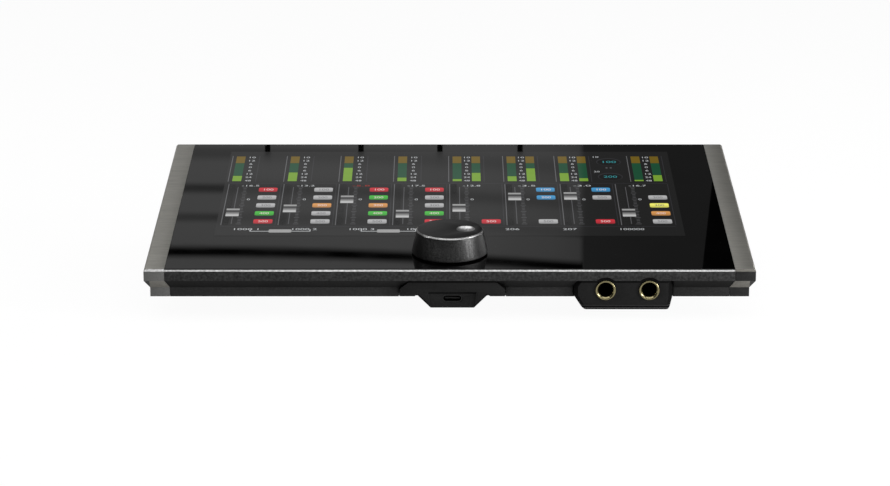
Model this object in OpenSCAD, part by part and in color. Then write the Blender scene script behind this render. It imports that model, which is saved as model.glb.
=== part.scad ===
// Tabletop USB audio interface: a glass-topped deck with one rotary control,
// tipped towards the user on a wedge-shaped base that stands level on four feet.
// Deck frame: x to the right, y from the front face to the rear, z up from the glass.
// Base frame: x to the right, y to the rear, z up from the table, origin under the middle.

/* [Deck] */
// Width across both cheeks
deck_w = 280; // [270:1:320]
// Depth from the front face to the rear face
deck_d = 205; // [202:1:240]
// Tilt of the deck towards the user, in degrees
tilt = 8.5; // [8:0.1:11]
// Chamfer along the top edges
edge_chamfer = 0.9; // [0.4:0.1:1.2]
// Height of the upper tier of the edge
upper_h = 5.4; // [5:0.1:7]
// Height of the undercut bevel
bevel_h = 4.2; // [3:0.1:6]
// Height of the lower tier of the edge
lower_h = 4.4; // [3.5:0.1:7]
// Inset of the lower tier behind the upper tier
bevel_in = 3.4; // [2:0.1:4.5]
// Inset of the lower tier at the deck's sides
side_in = 2.6; // [1.5:0.1:4]
// Visible width of a cheek on top
cheek_w = 9.4; // [8:0.1:12]
// Inward step of a cheek's inner line, upper tier to lower tier
cheek_in = 2.2; // [1:0.1:3.5]
// Width of the ledge inside a cheek that carries the chassis
ledge_w = 5.5; // [5:0.1:7]
// Depth of the front and rear rails
rail_d = 9; // [8.6:0.1:11]
// Width of the rail's flat lip behind its chamfer
rail_lip = 0.5; // [0.3:0.1:1]
// Seam between neighbouring outer pieces
seam = 0.1; // [0.05:0.01:0.2]

/* [Glass and display] */
// Thickness of the cover glass
glass_t = 2; // [1.5:0.1:2.5]
// Thickness of the adhesive sheet under the glass
tape_t = 0.3; // [0.2:0.05:0.5]
// Thickness of the display panel
lcd_t = 1.3; // [1:0.1:1.6]
// Thickness of the backlight behind the panel
light_t = 2.6; // [2:0.1:3]
// Distance from a deck side in to the display panel
lcd_side = 25.2; // [20:0.1:40]
// Distance from the front face to the display panel
lcd_front = 43; // [40:0.1:50]
// Distance from the rear face in to the display panel
lcd_rear = 12.4; // [11.4:0.1:30]
// Clearance round the display in its pocket
lcd_clear = 0.6; // [0.3:0.1:1]

/* [Chassis] */
// Thickness of the chassis flange under the glass
flange_t = 1.5; // [1.2:0.1:1.6]
// Wall and floor thickness of the display pocket
pocket_wall = 1.2; // [1:0.1:1.6]
// Length of the slot for the display ribbon
slot_w = 24; // [22:1:40]
// Distance from the display's front edge to the ribbon slot
slot_in = 57; // [40:1:70]

/* [Knob] */
// Distance from the front face to the knob's axis
knob_y = 25; // [24:0.1:26]
// Diameter of the knob at its foot
knob_base_d = 35.2; // [33:0.1:36]
// Diameter of the knob at its top
knob_top_d = 31; // [30:0.1:33]
// Height of the knob
knob_h = 11; // [10:0.1:14]
// Gap between the knob and the glass
knob_gap = 0.7; // [0.7:0.1:1.2]
// Bright chamfer round the knob's top
knob_rim = 0.6; // [0.3:0.1:0.9]
// Small chamfer round the knob's foot
knob_foot = 0.2; // [0.1:0.05:0.5]
// Thickness of the cap's top
cap_t = 2.6; // [2.2:0.1:3]
// Diameter of the cap's hollow
cap_bore_d = 27.2; // [24:0.1:28]
// Diameter of the finger dimple
dimple_d = 8.6; // [7:0.1:10]
// Depth of the finger dimple
dimple_depth = 1.4; // [0.8:0.1:1.6]
// Distance from the knob's axis to the dimple
dimple_r = 7.4; // [6:0.1:9]
// Travel of the push switch
push_travel = 0.5; // [0.3:0.1:0.6]

/* [Encoder] */
// Diameter of the encoder shaft
shaft_d = 6; // [5:0.1:6.2]
// Running clearance round the shaft
shaft_clear = 0.05; // [0.02:0.01:0.09]
// Depth of the flat on the shaft
shaft_flat = 1.5; // [1:0.1:2]
// Side of the square encoder housing
encoder_w = 14; // [13:0.1:14.5]
// Height of the encoder housing
encoder_h = 7; // [6.8:0.1:7.5]
// Thread diameter of the encoder bushing
bushing_d = 7.4; // [7.2:0.1:9]
// Width across the flats of the encoder nut
nut_af = 10; // [10:0.1:12]
// Thickness of the encoder nut
nut_t = 2; // [1.5:0.1:2.4]
// Thickness of the encoder washer
washer_t = 0.5; // [0.3:0.1:0.8]

/* [USB nose] */
// Sideways position of the front USB port
usb_x = 1.2; // [0:0.1:2]
// Depth of the USB port's middle below the glass
usb_z = 14.2; // [14:0.1:14.6]
// Width of the nose where it meets the upper tier
usb_top_w = 38.4; // [34:0.1:42]
// Width of the nose across its hood
usb_hood_w = 48.4; // [44:0.1:50]
// Depth of the hood's lower edge below the glass
usb_hood_z = 12.9; // [12.6:0.1:13.6]
// Width of the nose where its flanks start under the hood
usb_flank_w = 31.6; // [31.2:0.1:36]
// Width of the nose at its bottom
usb_base_w = 20; // [18:0.1:24]
// Depth of the nose's bottom below the glass
usb_drop = 18.7; // [18.2:0.1:19.4]
// Depth of the pocket round the port
usb_recess = 0.8; // [0.4:0.1:1.2]

/* [Phones nose] */
// Distance from the deck's right side in to the middle of the two sockets
phones_side = 58.6; // [50:0.1:66]
// Distance between the two sockets
jack_pitch = 20; // [19.2:0.1:20.2]
// Depth of the socket axes below the glass
jack_z = 9.9; // [9.8:0.1:10.6]
// Width of the nose to the left of the middle
phones_left_w = 24.6; // [22:0.1:25.5]
// Width of the nose to the right of the middle
phones_right_w = 20.8; // [19.6:0.1:24]
// Inward slope of the left flank
phones_left_in = 4.6; // [2:0.1:6]
// Inward slope of the right flank
phones_right_in = 1.6; // [0.5:0.1:3]
// Width of the sloped corner at the upper left
phones_mitre = 1.8; // [0.5:0.1:3]
// Depth of the nose's bottom below the glass
phones_drop = 19.9; // [18.8:0.1:20.6]
// Chamfer round the front of the nose
nose_chamfer = 2; // [0.5:0.1:2.2]
// Setback of the noses behind the front face
nose_set = 0.3; // [0.1:0.1:0.6]
// Gap between the noses and the front rail
nose_gap = 0.4; // [0.2:0.1:0.6]
// Diameter of the black collar round a socket
collar_d = 12; // [11:0.1:12.2]
// Outer diameter of the brass bushing
brass_d = 9.3; // [9:0.1:9.6]
// Bore of a quarter-inch socket
jack_bore_d = 6.4; // [6.35:0.01:6.5]
// Height of the brass bushing in front of the nose
brass_proud = 0.8; // [0.5:0.1:1]

/* [Base] */
// Distance from a deck side in to the base's side
pan_side = 22; // [20:0.5:26]
// Distance from the front face back to the base, along the deck's underside
pan_front = 48; // [46:0.5:54]
// Distance from the rear face in to the base's rear opening
pan_back = 9; // [8:0.5:14]
// Sheet thickness of the base
pan_t = 1.5; // [1.2:0.1:2]
// Thickness of the flange under the deck
apron_t = 1; // [0.8:0.1:1.2]
// Setback of the flange behind the lower tier
apron_in = 4.2; // [4:0.1:5]
// Height of a rubber foot
foot_h = 3; // [2:0.5:5]
// Diameter of a rubber foot
foot_d = 14; // [10:0.5:18]
// Inset of a foot from the base's side
foot_in = 18; // [12:0.5:24]
// Distance from the base's front to the middle of a front foot
foot_front = 24; // [22:0.5:50]
// Distance from the base's rear to the middle of a rear foot
foot_rear = 14; // [10:0.5:40]
// Gap between the noses and the base's bottom plane
nose_lift = 0.6; // [0.4:0.1:1.5]

/* [Boards] */
// Height of the standoffs under the main board
standoff_h = 3.5; // [3:0.1:4.5]
// Thickness of the main board
board_t = 1.6; // [1.2:0.1:2]
// Clearance from the main board's side to the panel lugs
board_clear = 2.5; // [1:0.1:8]
// Clearance from the main board's front edge to the base's front
board_front = 4; // [2:0.1:10]
// Thickness of the small front boards
small_board_t = 1; // [0.8:0.1:1.2]

/* [Rear connectors] */
// Thickness of the rear panel
panel_t = 1.5; // [1.2:0.1:2]
// Width and height of a combined input's body
combo_w = 25; // [24.6:0.1:26]
// Diameter of a combined input's round face
combo_d = 24; // [23.6:0.1:24.4]
// Depth of a combined input's body
combo_l = 24; // [22:0.5:28]
// Distance the round faces stand out of the panel
face_proud = 1.6; // [0.8:0.1:2.5]
// Width and height of a line output's body
line_w = 14; // [13:0.1:15]
// Width of the power inlet
inlet_w = 9; // [8:0.1:11]
// Width of the power switch's body
power_w = 11; // [10:0.1:12]
// Diameter of the power button
power_d = 8; // [6:0.5:9]
// Travel of the power button
power_travel = 2.5; // [1.5:0.1:3]

/* [USB ports] */
// Outer width of a USB port's shell
port_w = 8.94; // [8.8:0.01:9.1]
// Outer height of a USB port's shell
port_h = 3.26; // [3.2:0.01:3.3]
// Wall of a USB port's shell
port_wall = 0.3; // [0.25:0.01:0.35]
// Length of a USB port's shell
port_l = 7.4; // [6.5:0.1:8.5]

/* [Fasteners] */
// Thread diameter of the chassis and nose screws
small_screw_d = 2.5; // [2:0.1:2.6]
// Thread diameter of the base, board and panel screws
screw_d = 3; // [2.5:0.1:3.2]
// Length of thread in a piece
screw_bite = 4; // [3:0.5:4.5]

/* [Hidden] */
$fn = 48;
far = 400;
fit = 0.05;
half_w = deck_w / 2;
bevel_z = upper_h + bevel_h;
deck_h = bevel_z + lower_h;
cheek_x = half_w - cheek_w;
lip_y = edge_chamfer + rail_lip;
flange_z = glass_t + tape_t;
ledge_z = flange_z + flange_t;
ledge_x = cheek_x - ledge_w;

// Display pocket
lcd_w = deck_w - 2 * lcd_side;
lcd_back = deck_d - lcd_rear;
light_inset = 0.8;
light_gap = 0.2;
light_z = glass_t + lcd_t + light_t;
pocket_z = light_z + light_gap;
pocket_x = lcd_w / 2 + lcd_clear;
pocket_front = lcd_front - lcd_clear - pocket_wall;
pocket_low = pocket_z + pocket_wall;
slot_d = 6;
slot_x = -40;
slot_y = lcd_front + slot_in;

// Knob and encoder, heights above the glass
knob_top = knob_gap + knob_h;
cap_under = knob_top - cap_t;
nut_top = washer_t + nut_t - flange_z;
bushing_top = nut_top + 0.8;
hub_low = bushing_top + push_travel + 0.8;
hub_disc_t = 2.6;
hub_d = 12;
shaft_r = shaft_d / 2;
shaft_top = cap_under - 0.3;
glass_hole_d = nut_af / cos(30) + 1.6;
encoder_low = -ledge_z - encoder_h;
encoder_floor = encoder_low + 0.6;
encoder_roof = -ledge_z - 1.4;
plunger_low = encoder_floor + push_travel + fit;
plunger_t = 0.9;
shaft_low = plunger_low + plunger_t + fit;
rotor_low = shaft_low + 0.8;
rotor_t = 1.2;
rotor_d = encoder_w - 3.6;
rotor_room = 0.4;
encoder_board_w = encoder_w + 6;
encoder_board_d = encoder_w + 3;
encoder_board_low = encoder_low - small_board_t;

// USB nose
channel_z = -encoder_board_low + 0.6;
usb_wall = 2;
usb_board_w = 18;
usb_board_z = usb_z + port_h / 2;
usb_floor_z = usb_board_z + small_board_t + 0.2;
usb_board_l = 34;
usb_post_x = (usb_board_w / 2 + usb_flank_w / 2) / 2 + 0.3;
usb_post_y = rail_d + 2.8;
post_d = 5.2;
port_gap = 0.15;
port_face = nose_set + usb_recess + 0.2;

// Phones nose
phones_x = half_w - phones_side;
jack_xs = [phones_x - jack_pitch / 2, phones_x + jack_pitch / 2];
jack_w = 14;
jack_room = 0.1;
jack_front = nose_set + 2.7;
jack_l = 33;
jack_roof = 0.6;
nose_floor = 0.8;
jack_top = jack_z - jack_bore_d / 2 - jack_roof;
jack_low = phones_drop - nose_floor - small_board_t - jack_room;
jack_hole_d = jack_bore_d + 0.4;
neck_d = jack_bore_d + 1.2;
neck_l = 6;
collar_t = 0.9;
notch_t = collar_t + nose_set + 0.1;
phones_post_front = 14;
phones_post_pitch = 18;
phones_post_ys = [phones_post_front, phones_post_front + phones_post_pitch];
contact_front = jack_front + 10;
contact_l = 16;
contact_t = 0.4;
contact_h = 3;

// Where the tipped deck sits over the table, and where the base stands
deck_z = foot_h + nose_lift + phones_drop * cos(tilt);
deck_y = -((edge_chamfer + upper_h) * sin(tilt) + deck_d * cos(tilt)) / 2;
function deck_to_base(y, z) =
    [deck_y + y * cos(tilt) - z * sin(tilt), deck_z + y * sin(tilt) + z * cos(tilt)];
function under_deck(y, depth) =
    deck_z + (y - deck_y - depth * sin(tilt)) * tan(tilt) - depth * cos(tilt);
pan_w = deck_w - 2 * pan_side;
pan_y0 = deck_to_base(pan_front, -deck_h)[0];
pan_y1 = deck_to_base(deck_d - pan_back, -deck_h)[0];
pan_floor = foot_h + pan_t;
panel_top = under_deck(pan_y1, deck_h + apron_t) - 0.1;
apron_side = 3.4;
apron_x = half_w - side_in - apron_side;
foot_xs = [-pan_w / 2 + foot_in, pan_w / 2 - foot_in];
foot_ys = [pan_y0 + foot_front, pan_y1 - foot_rear];
lug = 9;
lug_x = pan_w / 2 - pan_t - lug / 2;
lug_zs = [pan_floor + lug / 2, panel_top - lug / 2 - 1];

// Main board and what stands on it
board_z = pan_floor + standoff_h;
board_top = board_z + board_t;
board_w = pan_w - 2 * (pan_t + lug + board_clear);
board_y0 = pan_y0 + pan_t + board_front;
board_y1 = pan_y1 - 0.5;
standoff_d = 6;
standoff_in = 9;
standoff_back = 10;
standoff_xs = [-board_w / 2 + standoff_in, 0, board_w / 2 - standoff_in];
standoff_ys = [board_y0 + standoff_in, board_y1 - combo_l - standoff_back];
can_x0 = standoff_d;
can_w = 80;
can_d = 28;
can_h = 7;
can_back = 20;
can_y = board_y1 - combo_l - can_back - can_d;
chip_x = 22;
chip_w = 22;
chip_t = 2.4;
chip_at = [chip_x, (board_y0 + can_y) / 2];
sink_w = 30;
sink_h = 9;
sink_fins = 7;
cap_d = 8;
cap_h = 11;
cap_pitch = 12;
cap_in = 22;
cap_xs = [for (i = [0:3]) -board_w / 2 + cap_in + i * cap_pitch];
cap_ys = [can_y + can_d - cap_d / 2, can_y + can_d - cap_d / 2 - cap_pitch];
socket_l = 22;
socket_d = 5;
socket_h = 2;
socket_y = deck_to_base(slot_y, -pocket_z)[0];
ribbon_t = 0.3;
ribbon_w = 18;
ribbon_sway = 2.4;

// Rear connectors
panel_y = pan_y1 + panel_t;
row_widths = [combo_w, combo_w, combo_w, combo_w, line_w, line_w, port_w, inlet_w, power_w];
row_room = pan_w - 2 * (pan_t + lug);
function row_sum(i) = i < 0 ? 0 : row_widths[i] + row_sum(i - 1);
row_gap = (row_room - row_sum(len(row_widths) - 1)) / (len(row_widths) + 1);
function row_x(i) = row_room / 2 - row_sum(i) + row_widths[i] / 2 - (i + 1) * row_gap;
combo_xs = [for (i = [0:3]) row_x(i)];
combo_z = board_top + combo_w / 2;
combo_hole = 0.2;
xlr_groove = [8.2, 9.9];
xlr_depth = 9;
xlr_pin_r = 5.5;
xlr_pin_d = 2.4;
jack_depth = 30;
line_xs = [row_x(5), row_x(4)];
line_z = board_top + line_w / 2;
line_neck_d = 9.4;
line_nut_d = 13;
line_nut_t = 2;
line_neck_l = panel_t + line_nut_t + 1;
host_x = row_x(6);
host_z = board_top + port_h / 2;
inlet_x = row_x(7);
inlet_h = 11;
inlet_l = 14;
inlet_z = board_top + inlet_h / 2;
inlet_hole_d = 5.7;
inlet_pin_d = 2.1;
inlet_depth = 9.5;
power_x = row_x(8);
power_z = board_top + 7;
power_l = 13;
power_stem_d = 4;
power_out = power_travel + 1.5;

// Screws
small_r = small_screw_d / 2;
screw_r = screw_d / 2;
thread_gap = 0.08;
pass_gap = 0.15;
csk_h = 1.1;
csk_r = small_r + csk_h;
head_r = screw_d * 0.9;
head_t = screw_d * 0.55;
cheek_screw_in = 36;
cheek_screw_ys = [cheek_screw_in, deck_d / 2, deck_d - cheek_screw_in];
rail_screw_gap = (usb_x + usb_hood_w / 2 + phones_x - phones_left_w) / 2;
rail_screw_in = 15;
rail_screw_xs = [-cheek_x + rail_screw_in, -rail_screw_gap, rail_screw_gap, cheek_x - rail_screw_in];
rail_screw_y = (lip_y + rail_d) / 2;
base_screw_x = (apron_x + ledge_x) / 2;
base_screw_front = 56;
base_screw_off = 12;
base_screw_rear = 20;
base_screw_ys = [base_screw_front, deck_d / 2 + base_screw_off, deck_d - base_screw_rear];

// Shared shapes

module on_deck() {
    translate([0, deck_y, deck_z]) rotate([tilt, 0, 0]) children();
}

// A box between two corners
module span(low, high) {
    translate(low) cube(high - low);
}

// An outline in y and z, run along x
module side_prism(points, x0, x1) {
    translate([x0, 0, 0]) rotate([90, 0, 90]) linear_extrude(x1 - x0) polygon(points);
}

// An outline in x and z, run along y
module front_prism(points, y0, y1) {
    translate([0, y1, 0]) rotate([90, 0, 0]) linear_extrude(y1 - y0) polygon(points);
}

// A round bar along y
module bar_y(d, y0, y1) {
    translate([0, y0, 0]) rotate([-90, 0, 0]) cylinder(d = d, h = y1 - y0);
}

// A ring along y
module ring_y(outer, inner, y0, y1) {
    difference() {
        bar_y(outer, y0, y1);
        bar_y(inner, y0 - 1, y1 + 1);
    }
}

// A slot with round ends, run along y
module oval_y(w, h, y0, y1) {
    for (side = [-1, 1]) translate([side * (w - h) / 2, 0, 0]) bar_y(h, y0, y1);
    span([-(w - h) / 2, y0, -h / 2], [(w - h) / 2, y1, h / 2]);
}

// Deck edge seen from the side, shared by cheeks and trim strips
slab_profile = [
    [edge_chamfer, 0], [deck_d - edge_chamfer, 0], [deck_d, -edge_chamfer],
    [deck_d, -upper_h], [deck_d - bevel_in, -bevel_z], [deck_d - bevel_in, -deck_h],
    [bevel_in, -deck_h], [bevel_in, -bevel_z], [0, -upper_h], [0, -edge_chamfer]
];

// Countersunk screw, its head's flat top at z = 0, or its hole when given a gap
module csk_solid(length, gap) {
    translate([0, 0, -csk_h]) cylinder(r1 = small_r + gap, r2 = csk_r + gap, h = csk_h);
    translate([0, 0, -length]) cylinder(r = small_r + gap, h = length - csk_h + fit);
}

// Pan-head screw along +z, with its head's seat at z = 0
module pan_screw(length) {
    translate([0, 0, -head_t]) cylinder(r = head_r, h = head_t);
    translate([0, 0, -fit]) cylinder(r = screw_r, h = length + fit);
}

module at_chassis_screws() {
    for (side = [-1, 1], y = cheek_screw_ys)
        translate([side * (cheek_x - ledge_w / 2), y, -flange_z]) children();
    for (x = rail_screw_xs, y = [rail_screw_y, deck_d - rail_screw_y])
        translate([x, y, -flange_z]) children();
}

module at_nose_screws() {
    for (side = [-1, 1])
        translate([usb_x + side * usb_post_x, usb_post_y, -flange_z]) children();
    for (y = phones_post_ys) translate([phones_x, y, -flange_z]) children();
}

module at_base_screws() {
    for (side = [-1, 1], y = base_screw_ys)
        translate([side * base_screw_x, y, -deck_h - apron_t]) children();
}

// Deck pieces

module cover_glass() {
    color([0.02, 0.02, 0.02]) on_deck() difference() {
        span([-cheek_x + seam, lip_y + seam, -glass_t],
             [cheek_x - seam, deck_d - lip_y - seam, 0]);
        translate([0, knob_y, -glass_t - 1]) cylinder(d = glass_hole_d, h = glass_t + 2);
    }
}

module glass_tape() {
    color([0.05, 0.05, 0.05]) on_deck() difference() {
        span([-cheek_x + 2 * seam, lip_y + 2 * seam, -flange_z],
             [cheek_x - 2 * seam, deck_d - lip_y - 2 * seam, -glass_t]);
        span([-pocket_x, lcd_front - lcd_clear, -flange_z - 1],
             [pocket_x, lcd_back + lcd_clear, 0]);
        translate([0, knob_y, -flange_z - 1]) cylinder(d = glass_hole_d + 1, h = flange_z);
    }
}

module lcd_panel() {
    color([0.08, 0.09, 0.1]) on_deck()
        span([-lcd_w / 2, lcd_front, -glass_t - lcd_t], [lcd_w / 2, lcd_back, -glass_t]);
}

module backlight_unit() {
    color([0.75, 0.76, 0.78]) on_deck()
        span([-lcd_w / 2 + light_inset, lcd_front + light_inset, -light_z],
             [lcd_w / 2 - light_inset, lcd_back - light_inset, -glass_t - lcd_t]);
}

module chassis_tray() {
    color([0.6, 0.61, 0.63]) on_deck() difference() {
        union() {
            span([-cheek_x + 2 * seam, lip_y + 2 * seam, -ledge_z],
                 [cheek_x - 2 * seam, deck_d - lip_y - 2 * seam, -flange_z]);
            span([-pocket_x - pocket_wall, pocket_front, -pocket_low],
                 [pocket_x + pocket_wall, lcd_back + lcd_clear + pocket_wall, -flange_z]);
        }
        span([-pocket_x, lcd_front - lcd_clear, -pocket_z],
             [pocket_x, lcd_back + lcd_clear, 1]);
        span([slot_x - slot_w / 2, slot_y - slot_d / 2, -far / 4],
             [slot_x + slot_w / 2, slot_y + slot_d / 2, 0]);
        translate([0, knob_y, -ledge_z - 1]) cylinder(d = bushing_d + 0.2, h = flange_t + 2);
        at_chassis_screws() csk_solid(flange_t + 1, pass_gap);
        at_nose_screws() csk_solid(flange_t + 1, pass_gap);
    }
}

// Section of the right cheek, in x and z
cheek_section = [
    [half_w - edge_chamfer, 0], [half_w, -edge_chamfer], [half_w, -upper_h],
    [half_w - side_in, -upper_h], [half_w - side_in, -deck_h],
    [cheek_x - cheek_in, -deck_h], [cheek_x - cheek_in, -bevel_z],
    [cheek_x, -upper_h], [cheek_x, 0]
];

module cheek() {
    color([0.52, 0.51, 0.48]) on_deck() difference() {
        intersection() {
            union() {
                front_prism(cheek_section, -1, deck_d + 1);
                span([ledge_x, rail_d + seam, -deck_h],
                     [cheek_x + 0.5, deck_d - rail_d - seam, -ledge_z]);
            }
            side_prism(slab_profile, 0, deck_w);
        }
        at_chassis_screws() csk_solid(flange_t + screw_bite + 0.3, thread_gap);
        at_base_screws() cylinder(r = screw_r + thread_gap, h = apron_t + screw_bite + 0.3);
    }
}

module left_cheek() mirror([1, 0, 0]) cheek();

module right_cheek() cheek();

// Strip pressed under the overhang of the right cheek
module trim_strip() {
    color([0.03, 0.03, 0.03]) on_deck() intersection() {
        front_prism([[half_w, -upper_h], [half_w - side_in, -upper_h],
                     [half_w - side_in, -bevel_z]], -1, deck_d + 1);
        side_prism(slab_profile, 0, deck_w);
    }
}

module left_trim_strip() mirror([1, 0, 0]) trim_strip();

module right_trim_strip() trim_strip();

rail_section = [
    [0, -edge_chamfer], [edge_chamfer, 0], [lip_y, 0], [lip_y, -ledge_z], [rail_d, -ledge_z],
    [rail_d, -deck_h], [bevel_in, -deck_h], [bevel_in, -bevel_z], [0, -upper_h]
];

// Bar between the cheeks, at the front edge
module rail() {
    end_top = cheek_x - seam;
    end_low = cheek_x - cheek_in - seam;
    intersection() {
        side_prism(rail_section, -half_w, half_w);
        front_prism([[-end_top, 1], [-end_top, -upper_h], [-end_low, -bevel_z],
                     [-end_low, -deck_h - 1], [end_low, -deck_h - 1], [end_low, -bevel_z],
                     [end_top, -upper_h], [end_top, 1]], -1, rail_d + 1);
    }
}

module front_rail() {
    color([0.1, 0.1, 0.1]) on_deck() difference() {
        rail();
        front_prism(usb_outline(-upper_h, deck_h + nose_gap, nose_gap), -1, rail_d + 1);
        front_prism(phones_outline(-upper_h, nose_gap), -1, rail_d + 1);
        for (x = jack_xs) translate([x, 0, -jack_z]) {
            bar_y(collar_d + 2 * seam, -1, notch_t);
            bar_y(brass_d + 2 * seam, -1, jack_front + seam);
        }
        at_chassis_screws() csk_solid(flange_t + screw_bite + 0.3, thread_gap);
    }
}

module rear_rail() {
    color([0.1, 0.1, 0.1]) on_deck() difference() {
        translate([0, deck_d, 0]) mirror([0, 1, 0]) rail();
        at_chassis_screws() csk_solid(flange_t + screw_bite + 0.3, thread_gap);
    }
}

module chassis_screws() {
    color([0.4, 0.4, 0.42]) on_deck()
        at_chassis_screws() csk_solid(flange_t + screw_bite, 0);
}

// Knob and encoder

module at_knob() {
    on_deck() translate([0, knob_y, 0]) children();
}

module knob_cap() {
    base_r = knob_base_d / 2;
    top_r = knob_top_d / 2;
    bore_r = cap_bore_d / 2;
    dish_r = (pow(dimple_d / 2, 2) + pow(dimple_depth, 2)) / (2 * dimple_depth);
    color([0.13, 0.13, 0.13]) at_knob() difference() {
        rotate_extrude($fn = 96) polygon([
            [bore_r, knob_gap], [base_r - knob_foot, knob_gap], [base_r, knob_gap + knob_foot],
            [top_r, knob_top - knob_rim], [top_r - knob_rim, knob_top], [0, knob_top],
            [0, cap_under], [bore_r, cap_under]
        ]);
        translate([dimple_r, 0, knob_top + dish_r - dimple_depth]) sphere(r = dish_r, $fn = 64);
    }
}

// Round bar with a flat on its +x side
module d_bar(r, flat, z0, z1) {
    difference() {
        translate([0, 0, z0]) cylinder(r = r, h = z1 - z0);
        span([r - flat, -r, z0 - 1], [r + 1, r, z1 + 1]);
    }
}

module knob_hub() {
    color([0.08, 0.08, 0.08]) at_knob() difference() {
        union() {
            translate([0, 0, hub_low]) cylinder(d = hub_d, h = cap_under - hub_low);
            translate([0, 0, cap_under - hub_disc_t])
                cylinder(d = cap_bore_d - 2 * fit, h = hub_disc_t);
        }
        d_bar(shaft_r + fit, shaft_flat, hub_low - 1, cap_under + 1);
    }
}

module encoder_shaft() {
    color([0.7, 0.7, 0.72]) at_knob() {
        translate([0, 0, shaft_low]) cylinder(r = shaft_r, h = bushing_top - shaft_low + fit);
        d_bar(shaft_r, shaft_flat, bushing_top, shaft_top);
        translate([0, 0, rotor_low]) cylinder(d = rotor_d, h = rotor_t);
    }
}

module push_plunger() {
    color([0.85, 0.82, 0.75]) at_knob()
        translate([0, 0, plunger_low]) cylinder(d = rotor_d - 1.4, h = plunger_t);
}

module encoder_bushing() {
    color([0.72, 0.6, 0.35]) at_knob() difference() {
        translate([0, 0, -ledge_z]) cylinder(d = bushing_d, h = ledge_z + bushing_top);
        translate([0, 0, -ledge_z - 1]) cylinder(r = shaft_r + shaft_clear, h = far / 4);
    }
}

module encoder_washer() {
    color([0.7, 0.7, 0.72]) at_knob() translate([0, 0, -flange_z]) difference() {
        cylinder(d = nut_af / cos(30) + 0.6, h = washer_t);
        translate([0, 0, -1]) cylinder(d = bushing_d + 2 * fit, h = washer_t + 2);
    }
}

module encoder_nut() {
    color([0.72, 0.6, 0.35]) at_knob() translate([0, 0, washer_t - flange_z]) difference() {
        cylinder(d = nut_af / cos(30), h = nut_t, $fn = 6);
        translate([0, 0, -1]) cylinder(d = bushing_d + 2 * fit, h = nut_t + 2);
    }
}

module encoder_housing() {
    color([0.18, 0.2, 0.22]) at_knob() difference() {
        span([-encoder_w / 2, -encoder_w / 2, encoder_low],
             [encoder_w / 2, encoder_w / 2, -ledge_z]);
        translate([0, 0, encoder_floor])
            cylinder(d = rotor_d + 2 * rotor_room, h = encoder_roof - encoder_floor);
        translate([0, 0, encoder_roof - 1]) cylinder(r = shaft_r + 4 * fit, h = far / 4);
    }
}

module encoder_board() {
    color([0.05, 0.25, 0.12]) at_knob()
        span([-encoder_board_w / 2, -encoder_board_d / 2, encoder_board_low],
             [encoder_board_w / 2, encoder_board_d / 2, encoder_low]);
}

// USB nose

// Front outline of the USB nose in x and z, down to a hood depth, grown sideways by a clearance
function usb_outline(top, hood, grow) = [
    [usb_x - usb_top_w / 2 - grow, top], [usb_x - usb_hood_w / 2 - grow, -bevel_z],
    [usb_x - usb_hood_w / 2 - grow, -hood], [usb_x - usb_flank_w / 2 - grow, -hood],
    [usb_x - usb_base_w / 2 - grow, -usb_drop], [usb_x + usb_base_w / 2 + grow, -usb_drop],
    [usb_x + usb_flank_w / 2 + grow, -hood], [usb_x + usb_hood_w / 2 + grow, -hood],
    [usb_x + usb_hood_w / 2 + grow, -bevel_z], [usb_x + usb_top_w / 2 + grow, top]
];

// Chamfers along the front edges of a nose, from one outline point to the last,
// every other one a little narrower so that neighbours cross in a clean corner
module nose_edges(points, first, last, chamfer) {
    narrower = 0.85;
    for (i = [first:last - 1]) {
        cut = chamfer * (i % 2 == 0 ? narrower : 1);
        run = points[i + 1] - points[i];
        translate([points[i][0], 0, points[i][1]]) rotate([0, -atan2(run[1], run[0]), 0])
            side_prism([[nose_set - 1, cut + 1], [nose_set - 1, -1], [nose_set + cut + 1, -1]],
                       -chamfer, norm(run) + chamfer);
    }
}

// Everything that lies behind the front wall of the base
module behind_pan_front() {
    span([-far, pan_y0, -far], [far, far, far]);
}

module usb_nose() {
    outline = usb_outline(-upper_h - seam, usb_hood_z, 0);
    recess_w = usb_base_w - 0.4;
    color([0.06, 0.06, 0.06]) difference() {
        on_deck() difference() {
            union() {
                difference() {
                    front_prism(outline, nose_set, rail_d);
                    nose_edges(outline, 3, 6, nose_chamfer / 2);
                }
                intersection() {
                    front_prism(outline, rail_d, far / 4);
                    span([usb_x - usb_flank_w / 2, 0, -far / 4],
                         [usb_x + usb_flank_w / 2, far / 4, -channel_z]);
                }
                for (side = [-1, 1])
                    translate([usb_x + side * usb_post_x, usb_post_y, -channel_z - 1])
                        cylinder(d = post_d, h = channel_z - ledge_z + 1);
            }
            // Pocket round the port, open at the nose's lower edge
            front_prism([[usb_x - recess_w / 2, -usb_drop - 1], [usb_x + recess_w / 2, -usb_drop - 1],
                         [usb_x + recess_w / 2 + 1.4, -usb_z + port_h],
                         [usb_x - recess_w / 2 - 1.4, -usb_z + port_h]],
                        -1, nose_set + usb_recess);
            translate([usb_x, 0, -usb_z])
                oval_y(port_w + 2 * port_gap, port_h + 2 * port_gap, 0, rail_d);
            // Room for the board and the back of the port
            span([usb_x - usb_board_w / 2 - port_gap, nose_set + usb_recess + usb_wall, -usb_floor_z],
                 [usb_x + usb_board_w / 2 + port_gap, far / 4, -usb_z + port_h / 2 + port_gap]);
            span([usb_x - usb_board_w / 2 - port_gap, rail_d, -usb_floor_z],
                 [usb_x + usb_board_w / 2 + port_gap, far / 4, 0]);
            at_nose_screws() csk_solid(flange_t + screw_bite + 0.3, thread_gap);
        }
        behind_pan_front();
    }
}

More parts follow.
